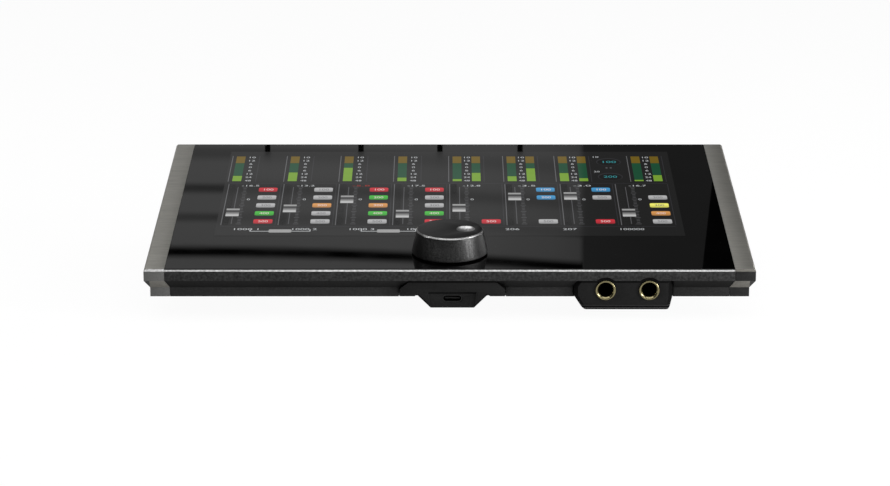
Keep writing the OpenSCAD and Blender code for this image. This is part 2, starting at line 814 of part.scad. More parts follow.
// Shell of a USB port, its mouth at y = 0 and its middle on the y axis
module port_shell() {
    difference() {
        oval_y(port_w, port_h, 0, port_l);
        oval_y(port_w - 2 * port_wall, port_h - 2 * port_wall, -1, port_l + 1);
    }
}

// Contact tongue and its block inside a USB port
module port_tongue() {
    tongue_w = 6.7;
    tongue_t = 0.7;
    block_l = 1.8;
    oval_y(port_w - 2 * port_wall - 2 * fit, port_h - 2 * port_wall - 2 * fit,
           port_l - block_l, port_l);
    span([-tongue_w / 2, 0.8, -tongue_t / 2], [tongue_w / 2, port_l - block_l + fit, tongue_t / 2]);
}

module at_front_usb() {
    on_deck() translate([usb_x, port_face, -usb_z]) children();
}

module front_usb_shell() color([0.25, 0.25, 0.26]) at_front_usb() port_shell();

module front_usb_tongue() color([0.04, 0.04, 0.04]) at_front_usb() port_tongue();

module front_usb_board() {
    color([0.05, 0.25, 0.12]) on_deck()
        span([usb_x - usb_board_w / 2, nose_set + usb_recess + usb_wall + port_gap,
              -usb_board_z - small_board_t],
             [usb_x + usb_board_w / 2, usb_board_l, -usb_board_z]);
}

// Phones nose

// Front outline of the phones nose in x and z, grown sideways by a clearance
function phones_outline(top, grow) = [
    [phones_x - phones_left_w + phones_mitre - grow, top],
    [phones_x - phones_left_w - grow, -bevel_z + 1.2],
    [phones_x - phones_left_w - grow, -deck_h + 1.2],
    [phones_x - phones_left_w + phones_left_in - grow, -phones_drop],
    [phones_x + phones_right_w - phones_right_in + grow, -phones_drop],
    [phones_x + phones_right_w + grow, -deck_h + 1.2], [phones_x + phones_right_w + grow, top]
];

module phones_nose() {
    outline = phones_outline(-upper_h - seam, 0);
    room_x = jack_w / 2 + jack_room;
    color([0.06, 0.06, 0.06]) difference() {
        on_deck() difference() {
            union() {
                difference() {
                    front_prism(outline, nose_set, far / 4);
                    nose_edges(outline, 0, len(outline) - 1, nose_chamfer);
                }
                for (x = jack_xs) translate([x, 0, -jack_z])
                    bar_y(collar_d, nose_set, nose_set + collar_t);
                for (y = phones_post_ys) translate([phones_x, y, -upper_h - 1])
                    cylinder(d = post_d, h = upper_h - ledge_z + 1);
            }
            for (x = jack_xs) {
                translate([x, 0, -jack_z]) bar_y(brass_d + 2 * fit, -1, jack_front + 1);
                span([x - room_x, jack_front, -jack_low - jack_room],
                     [x + room_x, far / 4, -jack_top + jack_room]);
            }
            // Slot for the board under both sockets
            span([jack_xs[0] - room_x, jack_front + 1, -jack_low - small_board_t - jack_room],
                 [jack_xs[1] + room_x, far / 4, -jack_low + jack_room]);
            // Step that clears the front of the display pocket
            span([-far, pocket_front - seam, -pocket_low - seam], [far, far, far]);
            at_nose_screws() csk_solid(flange_t + screw_bite + 0.3, thread_gap);
        }
        behind_pan_front();
    }
}

// Quarter-inch socket body, drawn on its own axis along y
module phones_jack(x) {
    color([0.1, 0.1, 0.1]) on_deck() translate([x, 0, 0]) difference() {
        span([-jack_w / 2, jack_front, -jack_low], [jack_w / 2, jack_front + jack_l, -jack_top]);
        translate([0, 0, -jack_z]) {
            bar_y(neck_d + 2 * fit, 0, jack_front + neck_l + fit);
            bar_y(jack_hole_d, 0, jack_front + jack_l - 2);
            span([jack_hole_d / 2 - 0.6, contact_front - 0.1, -contact_h / 2 - 0.1],
                 [jack_w / 2 - 0.8, contact_front + contact_l + 0.1, contact_h / 2 + 0.1]);
        }
    }
}

module phones_jack_left() phones_jack(jack_xs[0]);

module phones_jack_right() phones_jack(jack_xs[1]);

module phones_bushing(x) {
    mouth = nose_set - brass_proud;
    lead = 0.9;
    color([0.78, 0.65, 0.36]) on_deck() translate([x, 0, -jack_z]) difference() {
        union() {
            bar_y(brass_d, mouth, jack_front);
            bar_y(neck_d, jack_front - fit, jack_front + neck_l);
        }
        bar_y(jack_bore_d, mouth - 1, jack_front + neck_l + 1);
        translate([0, mouth - fit, 0]) rotate([-90, 0, 0])
            cylinder(d1 = jack_bore_d + 2 * lead, d2 = jack_bore_d, h = lead + fit);
    }
}

module phones_bushing_left() phones_bushing(jack_xs[0]);

module phones_bushing_right() phones_bushing(jack_xs[1]);

// Bent spring contacts beside the socket bores
module phones_contacts() {
    near = jack_hole_d / 2 + 0.05;
    root = jack_w / 2 - 0.8 - 0.1;
    y0 = contact_front;
    y1 = contact_front + contact_l;
    color([0.8, 0.75, 0.6]) on_deck() for (x = jack_xs)
        translate([x, 0, -jack_z - contact_h / 2]) linear_extrude(contact_h) polygon([
            [root - contact_t, y0], [near, y1 - 4], [near + 0.6, y1], [near + 0.6 + contact_t, y1],
            [near + contact_t, y1 - 4], [root, y0]
        ]);
}

module phones_board() {
    color([0.05, 0.25, 0.12]) on_deck()
        span([jack_xs[0] - jack_w / 2, jack_front + 1 + jack_room, -jack_low - small_board_t],
             [jack_xs[1] + jack_w / 2, jack_front + jack_l, -jack_low]);
}

module nose_screws() {
    color([0.4, 0.4, 0.42]) on_deck() at_nose_screws() csk_solid(flange_t + screw_bite, 0);
}

// Base

module pan_tray() {
    top0 = under_deck(pan_y0, deck_h);
    top1 = under_deck(pan_y1, deck_h);
    difference() {
        side_prism([[pan_y0, foot_h], [pan_y1, foot_h], [pan_y1, top1], [pan_y0, top0]],
                   -pan_w / 2, pan_w / 2);
        side_prism([[pan_y0 + pan_t, pan_floor], [far, pan_floor], [far, far],
                    [pan_y0 + pan_t, far]], -pan_w / 2 + pan_t, pan_w / 2 - pan_t);
        // Cable ways from the noses
        on_deck() {
            span([usb_x - usb_board_w / 2, pan_front - 20, -usb_floor_z],
                 [usb_x + usb_board_w / 2, pan_front + 20, -deck_h - apron_t]);
            span([jack_xs[0], pan_front - 20, -jack_low], [jack_xs[1], pan_front + 20, -deck_h - apron_t]);
        }
    }
}

// Flange under the deck, round the top of the tray
module pan_apron() {
    hole_y0 = pan_front + pan_t;
    hole_y1 = deck_d - pan_back;
    on_deck() difference() {
        span([-apron_x, bevel_in + apron_in, -deck_h - apron_t],
             [apron_x, deck_d - bevel_in - apron_in, -deck_h]);
        span([-pan_w / 2 + pan_t, hole_y0, -deck_h - far / 4],
             [pan_w / 2 - pan_t, hole_y1, 0]);
        front_prism(usb_outline(-upper_h, deck_h, 2 * seam), 0, pan_front);
        front_prism(phones_outline(-upper_h, 2 * seam), 0, pan_front);
        at_base_screws() translate([0, 0, -1]) cylinder(r = screw_r + pass_gap, h = apron_t + 2);
    }
}

module base_pan() {
    color([0.09, 0.09, 0.09]) difference() {
        union() {
            pan_tray();
            pan_apron();
            for (side = [-1, 1], z = lug_zs)
                span([side * lug_x - lug / 2, pan_y1 - lug, z - lug / 2],
                     [side * lug_x + lug / 2, pan_y1, z + lug / 2]);
        }
        for (side = [-1, 1], z = lug_zs) translate([side * lug_x, 0, z])
            bar_y(screw_d + 2 * thread_gap, pan_y1 - screw_bite - 0.5, pan_y1 + 1);
    }
}

module base_screws() {
    color([0.4, 0.4, 0.42]) on_deck() at_base_screws() pan_screw(apron_t + screw_bite);
}

module rubber_feet() {
    color([0.04, 0.04, 0.04]) for (x = foot_xs, y = foot_ys)
        translate([x, y, 0]) cylinder(d = foot_d, h = foot_h);
}

// Rear panel and its connectors

module rear_panel() {
    color([0.09, 0.09, 0.09]) difference() {
        span([-pan_w / 2, pan_y1, foot_h], [pan_w / 2, panel_y, panel_top]);
        for (x = combo_xs) translate([x, 0, combo_z])
            bar_y(combo_d + 2 * combo_hole, pan_y1 - 1, panel_y + 1);
        for (x = line_xs) translate([x, 0, line_z])
            bar_y(line_neck_d + 2 * combo_hole, pan_y1 - 1, panel_y + 1);
        translate([host_x, 0, host_z])
            oval_y(port_w + 2 * port_gap, port_h + 2 * port_gap, pan_y1 - 1, panel_y + 1);
        span([inlet_x - inlet_w / 2 - port_gap, pan_y1 - 1, board_top - port_gap],
             [inlet_x + inlet_w / 2 + port_gap, panel_y + 1, board_top + inlet_h + port_gap]);
        translate([power_x, 0, power_z]) bar_y(power_d + 2 * combo_hole, pan_y1 - 1, panel_y + 1);
        for (side = [-1, 1], z = lug_zs) translate([side * lug_x, 0, z])
            bar_y(screw_d + 2 * pass_gap, pan_y1 - 1, panel_y + 1);
    }
}

module rear_panel_screws() {
    color([0.4, 0.4, 0.42]) for (side = [-1, 1], z = lug_zs)
        translate([side * lug_x, panel_y, z]) rotate([90, 0, 0]) pan_screw(panel_t + screw_bite);
}

// Combined microphone and line input
module combo_jack(x) {
    mouth = panel_y + face_proud;
    color([0.05, 0.05, 0.05]) translate([x, 0, combo_z]) difference() {
        union() {
            span([-combo_w / 2, pan_y1 - combo_l, -combo_w / 2], [combo_w / 2, pan_y1, combo_w / 2]);
            bar_y(combo_d, pan_y1 - 1, mouth);
        }
        ring_y(2 * xlr_groove[1], 2 * xlr_groove[0], mouth - xlr_depth, mouth + 1);
        bar_y(jack_bore_d, mouth - combo_l + 1, mouth + 1);
        for (a = [30, 150, 270])
            translate([xlr_pin_r * cos(a), 0, xlr_pin_r * sin(a)])
                bar_y(xlr_pin_d, mouth - xlr_depth, mouth + 1);
    }
}

module combo_jack_1() combo_jack(combo_xs[0]);

module combo_jack_2() combo_jack(combo_xs[1]);

module combo_jack_3() combo_jack(combo_xs[2]);

module combo_jack_4() combo_jack(combo_xs[3]);

module line_jack(x) {
    mouth = pan_y1 + line_neck_l;
    color([0.08, 0.08, 0.08]) translate([x, 0, line_z]) difference() {
        union() {
            span([-line_w / 2, pan_y1 - jack_depth, -line_w / 2], [line_w / 2, pan_y1, line_w / 2]);
            bar_y(line_neck_d, pan_y1 - 1, mouth);
        }
        bar_y(jack_bore_d, mouth - jack_depth, mouth + 1);
    }
}

module line_jack_left() line_jack(line_xs[0]);

module line_jack_right() line_jack(line_xs[1]);

module line_jack_nuts() {
    color([0.65, 0.65, 0.67]) for (x = line_xs) translate([x, 0, line_z])
        ring_y(line_nut_d, line_neck_d + 2 * fit, panel_y, panel_y + line_nut_t);
}

module at_host_usb() {
    translate([host_x, panel_y, host_z]) rotate([0, 0, 180]) children();
}

module host_usb_shell() color([0.7, 0.7, 0.72]) at_host_usb() port_shell();

module host_usb_tongue() color([0.04, 0.04, 0.04]) at_host_usb() port_tongue();

module power_inlet() {
    mouth = panel_y + fit;
    color([0.05, 0.05, 0.05]) translate([inlet_x, 0, inlet_z]) difference() {
        span([-inlet_w / 2, mouth - inlet_l, -inlet_h / 2], [inlet_w / 2, mouth, inlet_h / 2]);
        bar_y(inlet_hole_d, mouth - inlet_depth, mouth + 1);
    }
}

module power_pin() {
    color([0.7, 0.7, 0.72]) translate([inlet_x, 0, inlet_z])
        bar_y(inlet_pin_d, panel_y + fit - inlet_depth, panel_y - 1);
}

module power_switch() {
    color([0.08, 0.08, 0.08]) translate([power_x, 0, power_z]) difference() {
        span([-power_w / 2, pan_y1 - power_l, board_top - power_z],
             [power_w / 2, pan_y1, power_w / 2]);
        bar_y(power_d + 2 * combo_hole, pan_y1 - power_travel - 0.5, pan_y1 + 1);
        bar_y(power_stem_d + 4 * fit, pan_y1 - 2 * power_travel - 4, pan_y1 + 1);
    }
}

module power_button() {
    color([0.12, 0.12, 0.12]) translate([power_x, 0, power_z]) {
        bar_y(power_d, pan_y1, panel_y + power_out);
        bar_y(power_stem_d, pan_y1 - power_travel - 3, pan_y1 + fit);
    }
}

// Main board and what stands on it

module at_standoffs(z) {
    for (x = standoff_xs, y = standoff_ys) translate([x, y, z]) children();
}

module main_board() {
    color([0.05, 0.25, 0.12]) difference() {
        span([-board_w / 2, board_y0, board_z], [board_w / 2, board_y1, board_top]);
        at_standoffs(board_z - 1) cylinder(r = screw_r + pass_gap, h = board_t + 2);
    }
}

module board_standoffs() {
    color([0.72, 0.6, 0.35]) at_standoffs(pan_floor) difference() {
        cylinder(d = standoff_d, h = standoff_h);
        translate([0, 0, 0.4]) cylinder(r = screw_r + thread_gap, h = standoff_h);
    }
}

module board_screws() {
    color([0.4, 0.4, 0.42])
        at_standoffs(board_top) rotate([180, 0, 0]) pan_screw(board_t + standoff_h - 0.6);
}

module processor() {
    color([0.05, 0.05, 0.06]) translate([chip_at[0], chip_at[1], board_top])
        translate([-chip_w / 2, -chip_w / 2, 0]) cube([chip_w, chip_w, chip_t]);
}

module heat_sink() {
    base_t = 2;
    fin_t = 1.4;
    pitch = (sink_w - fin_t) / (sink_fins - 1);
    color([0.2, 0.2, 0.22]) translate([chip_at[0], chip_at[1], board_top + chip_t]) {
        translate([-sink_w / 2, -sink_w / 2, 0]) cube([sink_w, sink_w, base_t]);
        for (i = [0:sink_fins - 1])
            translate([-sink_w / 2 + i * pitch, -sink_w / 2, 0]) cube([fin_t, sink_w, sink_h]);
    }
}

module shield_can() {
    wall = 0.5;
    color([0.75, 0.75, 0.77]) translate([can_x0, can_y, board_top]) difference() {
        cube([can_w, can_d, can_h]);
        translate([wall, wall, -1]) cube([can_w - 2 * wall, can_d - 2 * wall, can_h + 1 - wall]);
    }
}

module capacitors() {
    color([0.12, 0.12, 0.16]) for (x = cap_xs, y = cap_ys)
        translate([x, y, board_top]) cylinder(d = cap_d, h = cap_h);
}

module ribbon_socket() {
    color([0.85, 0.82, 0.75])
        span([slot_x - socket_l / 2, socket_y - socket_d / 2, board_top],
             [slot_x + socket_l / 2, socket_y + socket_d / 2, board_top + socket_h]);
}

// Flat cable from the display down to the main board, with a little slack
module display_ribbon() {
    top = deck_to_base(slot_y, -light_z - light_gap / 2);
    low = board_top + socket_h;
    drop = top[1] - low;
    path = [for (i = [0:12])
        [socket_y + ribbon_sway * sin(i * 30), low + drop * i / 12]];
    color([0.85, 0.75, 0.5])
        side_prism(concat(path, [for (i = [12:-1:0]) path[i] + [ribbon_t, 0]]),
                   slot_x - ribbon_w / 2, slot_x + ribbon_w / 2);
}

cover_glass();
glass_tape();
lcd_panel();
backlight_unit();
chassis_tray();
left_cheek();
right_cheek();
left_trim_strip();
right_trim_strip();
front_rail();
rear_rail();
chassis_screws();
knob_cap();
knob_hub();
encoder_shaft();
push_plunger();
encoder_bushing();
encoder_nut();
encoder_washer();
encoder_housing();
encoder_board();
usb_nose();
front_usb_shell();
front_usb_tongue();
front_usb_board();
phones_nose();
phones_jack_left();
phones_jack_right();
phones_bushing_left();
phones_bushing_right();
phones_contacts();
phones_board();
nose_screws();
base_pan();
base_screws();
rubber_feet();
rear_panel();
rear_panel_screws();
main_board();
board_standoffs();
board_screws();
processor();
heat_sink();
shield_can();
capacitors();
ribbon_socket();
display_ribbon();
combo_jack_1();
combo_jack_2();
combo_jack_3();
combo_jack_4();
line_jack_left();
line_jack_right();
line_jack_nuts();
host_usb_shell();
host_usb_tongue();
power_inlet();
power_pin();
power_switch();
power_button();
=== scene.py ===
"""Tabletop audio interface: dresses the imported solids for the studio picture.

Lengths in the deck's own frame are millimetres: x to the right, y from the front face to the rear,
z up from the glass. DECK turns them into the row frame, which is metres.
"""

import math

import bmesh
import bpy
from mathutils import Matrix, Vector


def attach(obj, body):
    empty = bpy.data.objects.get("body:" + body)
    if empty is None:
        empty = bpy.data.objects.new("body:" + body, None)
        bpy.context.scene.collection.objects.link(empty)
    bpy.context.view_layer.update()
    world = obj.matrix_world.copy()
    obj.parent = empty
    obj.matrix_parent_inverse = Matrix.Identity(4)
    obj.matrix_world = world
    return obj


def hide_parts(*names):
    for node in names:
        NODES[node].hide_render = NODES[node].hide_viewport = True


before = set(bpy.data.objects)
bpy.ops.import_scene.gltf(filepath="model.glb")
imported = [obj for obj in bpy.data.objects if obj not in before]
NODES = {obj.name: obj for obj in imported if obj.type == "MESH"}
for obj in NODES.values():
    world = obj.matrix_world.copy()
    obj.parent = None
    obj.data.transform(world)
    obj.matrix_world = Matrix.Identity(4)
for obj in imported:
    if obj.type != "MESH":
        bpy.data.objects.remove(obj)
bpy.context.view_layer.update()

MM = 0.001

# The deck frame, from the same sizes as in the CAD
TILT = math.radians(8.5)
COS, SIN = math.cos(TILT), math.sin(TILT)
DECK_D = 205.0
EDGE_CHAMFER = 0.9
UPPER_H = 5.4
PHONES_DROP = 19.9
FOOT_H = 3.0
NOSE_LIFT = 0.6
DECK_Z = FOOT_H + NOSE_LIFT + PHONES_DROP * COS
DECK_Y = -((EDGE_CHAMFER + UPPER_H) * SIN + DECK_D * COS) / 2
DECK = (Matrix.Scale(MM, 4) @ Matrix.Translation((0, DECK_Y, DECK_Z))
        @ Matrix.Rotation(TILT, 4, "X"))
TO_DECK = DECK.inverted()
UNTILT = Matrix.Rotation(-TILT, 3, "X")
TIP = UNTILT.transposed()


# Materials

# Values of the fine noise at which a surface has its two colours
GRAIN_SPAN = (0.35, 0.65)
GRAIN_DETAIL, GRAIN_ROUGH = 4.0, 0.6
# Patches of gloss per metre
BROAD_GRAIN, BROAD_DETAIL = 60.0, 2.0


def shader(name):
    """A new material, its node tree's helpers and its main shader."""
    mat = bpy.data.materials.new(name)
    mat.use_nodes = True
    tree = mat.node_tree
    return mat, tree.nodes, tree.links, tree.nodes["Principled BSDF"]


def grey(v):
    return (v, v, v, 1.0)


def srgb(r, g, b):
    """A colour read in 0 to 255, as the linear colour that the shader takes."""
    def lin(v):
        v /= 255.0
        return v / 12.92 if v <= 0.04045 else ((v + 0.055) / 1.055) ** 2.4
    return (lin(r), lin(g), lin(b), 1.0)


def scaled(color, k):
    return tuple(c * k for c in color[:3]) + (1.0,)


def noise(nodes, links, scale, detail, stretch=None, rough=0.5):
    """Noise over the object's own coordinates; scale is in features per metre."""
    coord = nodes.new("ShaderNodeTexCoord")
    tex = nodes.new("ShaderNodeTexNoise")
    tex.inputs["Scale"].default_value = scale
    tex.inputs["Detail"].default_value = detail
    tex.inputs["Roughness"].default_value = rough
    if stretch:
        mapping = nodes.new("ShaderNodeMapping")
        mapping.inputs["Scale"].default_value = stretch
        links.new(coord.outputs["Object"], mapping.inputs["Vector"])
        links.new(mapping.outputs["Vector"], tex.inputs["Vector"])
    else:
        links.new(coord.outputs["Object"], tex.inputs["Vector"])
    return tex.outputs["Fac"]


def ramp(nodes, links, source, stops):
    """A colour ramp on a value; stops are (place, colour)."""
    node = nodes.new("ShaderNodeValToRGB")
    elements = node.color_ramp.elements
    while len(elements) < len(stops):
        elements.new(0.5)
    for element, (place, color) in zip(elements, stops):
        element.position = place
        element.color = color
    links.new(source, node.inputs["Fac"])
    return node.outputs["Color"]


def ranged(nodes, links, source, low, high, start=0.3, end=0.7):
    """A value brought from one range into another."""
    node = nodes.new("ShaderNodeMapRange")
    node.inputs["From Min"].default_value = start
    node.inputs["From Max"].default_value = end
    node.inputs["To Min"].default_value = low
    node.inputs["To Max"].default_value = high
    links.new(source, node.inputs["Value"])
    return node.outputs["Result"]


def maths(nodes, links, operation, first, second=None):
    """A sum on one or two values, of which the second may be a plain number."""
    node = nodes.new("ShaderNodeMath")
    node.operation = operation
    links.new(first, node.inputs[0])
    if isinstance(second, float):
        node.inputs[1].default_value = second
    elif second is not None:
        links.new(second, node.inputs[1])
    return node.outputs["Value"]


def within(nodes, links, source, low, high):
    """1 where a value lies between two bounds, and 0 elsewhere."""
    over = maths(nodes, links, "GREATER_THAN", source, low)
    under = maths(nodes, links, "LESS_THAN", source, high)
    return maths(nodes, links, "MULTIPLY", over, under)


def grained(name, low, high, rough, metallic=0.0, grain=2500.0, stretch=None, relief=0.0,
            depth=0.03, specular=0.5):
    """A surface with fine grain in its colour, gloss and relief.

    low and high are the colours that the grain runs between, and rough is the span of roughness.
    grain is in features per metre, relief a share and depth the relief's height in millimetres.
    """
    mat, nodes, links, bsdf = shader(name)
    fine = noise(nodes, links, grain, GRAIN_DETAIL, stretch, GRAIN_ROUGH)
    links.new(ramp(nodes, links, fine, list(zip(GRAIN_SPAN, (low, high)))), bsdf.inputs["Base Color"])
    broad = noise(nodes, links, BROAD_GRAIN, BROAD_DETAIL)
    links.new(ranged(nodes, links, broad, *rough), bsdf.inputs["Roughness"])
    bsdf.inputs["Metallic"].default_value = metallic
    bsdf.inputs["Specular IOR Level"].default_value = specular
    if relief:
        node = nodes.new("ShaderNodeBump")
        node.inputs["Strength"].default_value = relief
        node.inputs["Distance"].default_value = depth * MM
        links.new(fine, node.inputs["Height"])
        links.new(node.outputs["Normal"], bsdf.inputs["Normal"])
    return mat


def nose_plastic(name, low, high, rough, specular):
    """The satin plastic of the noses in one tone and gloss."""
    return grained(name, grey(low), grey(high), rough, grain=3200.0, relief=0.2, depth=0.02,
                   specular=specular)


BRUSHED_ALONG_X = (0.06, 1.0, 1.0)
BRUSHED_ALONG_Y = (1.0, 0.1, 1.0)

CHEEK = grained("cheek_brushed", (0.52, 0.51, 0.465, 1), (0.67, 0.655, 0.605, 1), (0.37, 0.39),
                metallic=1.0, grain=1500.0, stretch=BRUSHED_ALONG_X, relief=0.15, depth=0.01)
# Cheek front ends: painted shade against the top, the left one painted lighter than the right one
CHEEK_END_PAINTED = grained("cheek_end_painted_light_and_shade", (0.085, 0.085, 0.083, 1), (0.11, 0.11, 0.107, 1), (0.5, 0.6),
                    metallic=0.4, grain=2200.0, relief=0.2, depth=0.01, specular=0.2)
# Cheek bevels facing down, and the right upper bevel: a darker copy of the metal, painted shade
CHEEK_BEVEL_SHADE = grained("cheek_bevel_painted_shade", (0.10, 0.095, 0.085, 1), (0.15, 0.145, 0.13, 1), (0.45, 0.55),
                      metallic=0.5, grain=2200.0, relief=0.2, depth=0.01, specular=0.3)
# The cheek shade: the right cheek's front and the undersides, painted shade
CHEEK_SHADE = grained("cheek_shade", grey(0.012), grey(0.02), (0.5, 0.6), metallic=0.4,
                      grain=2200.0, relief=0.2, depth=0.01, specular=0.2)
RAIL = grained("rail_blasted", grey(0.003), grey(0.024), (0.45, 0.58), grain=900.0, relief=0.5,
               depth=0.05, specular=0.2)
# Rail bevels, top and chamfer top: a darker, less glossy copy of its finish, painted shade
RAIL_BEVEL_SHADE = grained("rail_bevel_painted_shade", grey(0.003), grey(0.007), (0.5, 0.6), grain=1500.0, relief=0.3,
                     depth=0.03, specular=0.08)
# Rail lower tier: a little darker and less glossy than the upper tier, painted shade
RAIL_LOW_SHADE = grained("rail_lower_painted_shade", grey(0.008), grey(0.016), (0.45, 0.58), grain=1500.0, relief=0.4,
                   depth=0.04, specular=0.15)
RAIL_EDGE = grained("rail_cut_edge", grey(0.24), grey(0.50), (0.30, 0.38), metallic=1.0,
                    grain=700.0, relief=0.3)
NOSE = nose_plastic("nose_satin", 0.005, 0.008, (0.45, 0.55), 0.10)
# Upper part of a nose, its pocket and its slanted edges: painted shade
NOSE_DARK = nose_plastic("nose_shade", 0.002, 0.004, (0.55, 0.65), 0.03)
# USB nose's broken edges and a line at the phones nose's foot: painted highlight
NOSE_EDGE_HIGHLIGHT = nose_plastic("nose_edge_painted_highlight", 0.020, 0.028, (0.40, 0.50), 0.25)
# A line along the phones nose's front at its foot: painted highlight
NOSE_LINE_HIGHLIGHT = nose_plastic("nose_line_painted_highlight", 0.013, 0.017, (0.5, 0.6), 0.11)
# Nose underside chamfers and a band at the phones nose's foot: painted shade without gloss
NOSE_SLANT_SHADE = nose_plastic("nose_slant_painted_shade", 0.002, 0.004, (0.55, 0.65), 0.0)
TRIM = grained("trim_rubber", grey(0.006), grey(0.010), (0.6, 0.75), grain=2000.0, relief=0.2)
GLASS = grained("glass_black", grey(0.0005), grey(0.0010), (0.008, 0.016), grain=40.0)
KNOB_SIDE = grained("knob_blasted", grey(0.006), grey(0.060), (0.41, 0.47), metallic=1.0,
                    grain=3000.0, relief=0.25, depth=0.01)
KNOB_TOP = grained("knob_top", grey(0.045), grey(0.07), (0.30, 0.38), metallic=1.0, grain=2600.0,
                   relief=0.15, depth=0.01)
KNOB_RIM = grained("knob_rim", grey(0.3), grey(0.4), (0.3, 0.36), metallic=1.0, grain=2000.0)
DIMPLE = grained("knob_dimple", grey(0.42), grey(0.5), (0.30, 0.36), metallic=1.0, grain=2000.0)
BRASS = grained("brass_polished", (0.20, 0.175, 0.095, 1), (0.25, 0.22, 0.12, 1), (0.14, 0.20),
                metallic=1.0, grain=1500.0)
# Flat front of the brass rings: a darker copy of the brass, painted shade
BRASS_LIP_SHADE = grained("brass_lip_painted_shade", (0.05, 0.043, 0.024, 1), (0.065, 0.056, 0.032, 1), (0.3, 0.4),
                    metallic=1.0, grain=1500.0)
STEEL = grained("steel_plated", grey(0.5), grey(0.58), (0.25, 0.35), metallic=1.0, grain=1500.0)
DARK_STEEL = grained("steel_dark", grey(0.025), grey(0.035), (0.3, 0.4), metallic=1.0, grain=1500.0)
SOCKET = grained("socket_plastic", grey(0.012), grey(0.018), (0.4, 0.5), relief=0.15)
# Jack plastic, darker than the other socket plastic, and the screw heads' hexagon plates, painted
# shade
BORE_AND_SOCKET_SHADE = grained("bore_and_socket_shade", grey(0.004), grey(0.006), (0.6, 0.7), relief=0.1, depth=0.01,
               specular=0.2)
COAT = grained("powder_coat", grey(0.014), grey(0.026), (0.5, 0.62), grain=1600.0, relief=0.5,
               depth=0.06)
FOOT = grained("foot_rubber", grey(0.010), grey(0.018), (0.7, 0.85), grain=1200.0, relief=0.4)
BUTTON = grained("button_satin", grey(0.03), grey(0.045), (0.4, 0.5), relief=0.15)
BOARD = grained("board_mask", (0.01, 0.08, 0.03, 1), (0.015, 0.10, 0.04, 1), (0.3, 0.4), grain=400.0)
SHEET = grained("sheet_aluminium", grey(0.5), grey(0.56), (0.35, 0.45), metallic=1.0, grain=1500.0,
                stretch=BRUSHED_ALONG_Y, relief=0.1)
PALE = grained("pale_plastic", (0.6, 0.59, 0.55, 1), (0.66, 0.65, 0.61, 1), (0.45, 0.55),
               grain=1500.0)
FILM = grained("ribbon_film", (0.5, 0.3, 0.08, 1), (0.56, 0.36, 0.1, 1), (0.3, 0.4), grain=900.0)

CAD_FINISH = {
    GLASS: ("cover_glass", "lcd_panel"),
    TRIM: ("glass_tape", "left_trim_strip", "right_trim_strip"),
    PALE: ("backlight_unit", "push_plunger", "ribbon_socket"),
    SHEET: ("chassis_tray",),
    STEEL: ("chassis_screws", "encoder_shaft", "encoder_washer", "nose_screws", "base_screws",
            "rear_panel_screws", "board_screws", "shield_can", "line_jack_nuts", "host_usb_shell",
            "power_pin"),
    BRASS: ("encoder_bushing", "encoder_nut", "phones_contacts", "board_standoffs",
            "phones_bushing_left", "phones_bushing_right"),
    BOARD: ("encoder_board", "front_usb_board", "phones_board", "main_board"),
    SOCKET: ("knob_hub", "encoder_housing", "processor", "capacitors",
             "host_usb_tongue", "power_inlet", "power_switch", "combo_jack_1", "combo_jack_2",
             "combo_jack_3", "combo_jack_4", "line_jack_left", "line_jack_right"),
    BORE_AND_SOCKET_SHADE: ("phones_jack_left", "phones_jack_right"),
    DARK_STEEL: ("front_usb_shell", "heat_sink"),
    FILM: ("display_ribbon",),
    COAT: ("base_pan", "rear_panel"),
    FOOT: ("rubber_feet",),
    BUTTON: ("power_button",),
    CHEEK: ("left_cheek", "right_cheek"),
    RAIL: ("front_rail", "rear_rail"),
    NOSE: ("usb_nose", "phones_nose", "front_usb_tongue"),
    KNOB_SIDE: ("knob_cap",),
}
for finish, node_names in CAD_FINISH.items():
    for node_name in node_names:
        NODES[node_name].data.materials.clear()
        NODES[node_name].data.materials.append(finish)


# Mesh helpers

# Distances in metres at which points are one, lie on a cut, or lie on a screw's head
WELD, ON_CUT, ON_HEAD = 1e-6, 1e-7, 1e-5
# Angles up to which faces are one plane, and past which an edge is broken or shaded sharp
FLAT_ANGLE, BROKEN_ANGLE, SHARP_ANGLE = (math.radians(a) for a in (0.5, 25, 30))
# How far over a nose's lowest height the ends of its foot edges lie, as its chamfers differ
FOOT_SLACK = 0.35
FOOT_STEPS = 5
CORNER_STEPS = 4
# The place of the material for broken edges that look like the faces beside them
AS_BESIDE = -1
# Dark hexagon plates in the heads of the outer screws: painted shade that stands for their recesses
SOCKET_R, SOCKET_DEEP, SOCKET_PROUD = 1.3, 0.4, 0.02
SOCKET_SIDES = 6


def make(name, bm, mats, body, replaces=(), smooth=False):
    """Turns a bmesh in the row frame into a piece that rides on a body."""
    mesh = bpy.data.meshes.new(name)
    bm.to_mesh(mesh)
    bm.free()
    for mat in mats:
        mesh.materials.append(mat)
    if smooth:
        mesh.polygons.foreach_set("use_smooth", [True] * len(mesh.polygons))
        mesh.set_sharp_from_angle(angle=SHARP_ANGLE)
    obj = bpy.data.objects.new(name, mesh)
    bpy.context.scene.collection.objects.link(obj)
    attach(obj, body)
    for node_name in replaces:
        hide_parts(node_name)
    return obj


def node_mesh(node_name):
    """A CAD node's mesh as a bmesh, with its points joined."""
    bm = bmesh.new()
    bm.from_mesh(NODES[node_name].data)
    bmesh.ops.remove_doubles(bm, verts=bm.verts, dist=WELD)
    return bm


def foot_edges(bm):
    """The edges along a nose's depth at its lowest height."""
    low = min((TO_DECK @ v.co).z for v in bm.verts) + FOOT_SLACK
    found = []
    for edge in bm.edges:
        first, second = (TO_DECK @ v.co for v in edge.verts)
        step = first - second
        if max(first.z, second.z) < low and abs(step.x) < abs(step.y):
            found.append(edge)
    return found


def break_edges(bm, edges, radius, segments, rim):
    """Rounds some edges by a radius in millimetres; rim is the place of their material."""
    bmesh.ops.bevel(bm, geom=edges, offset=radius * MM, segments=segments, profile=0.5,
                    affect="EDGES", clamp_overlap=True, material=rim)


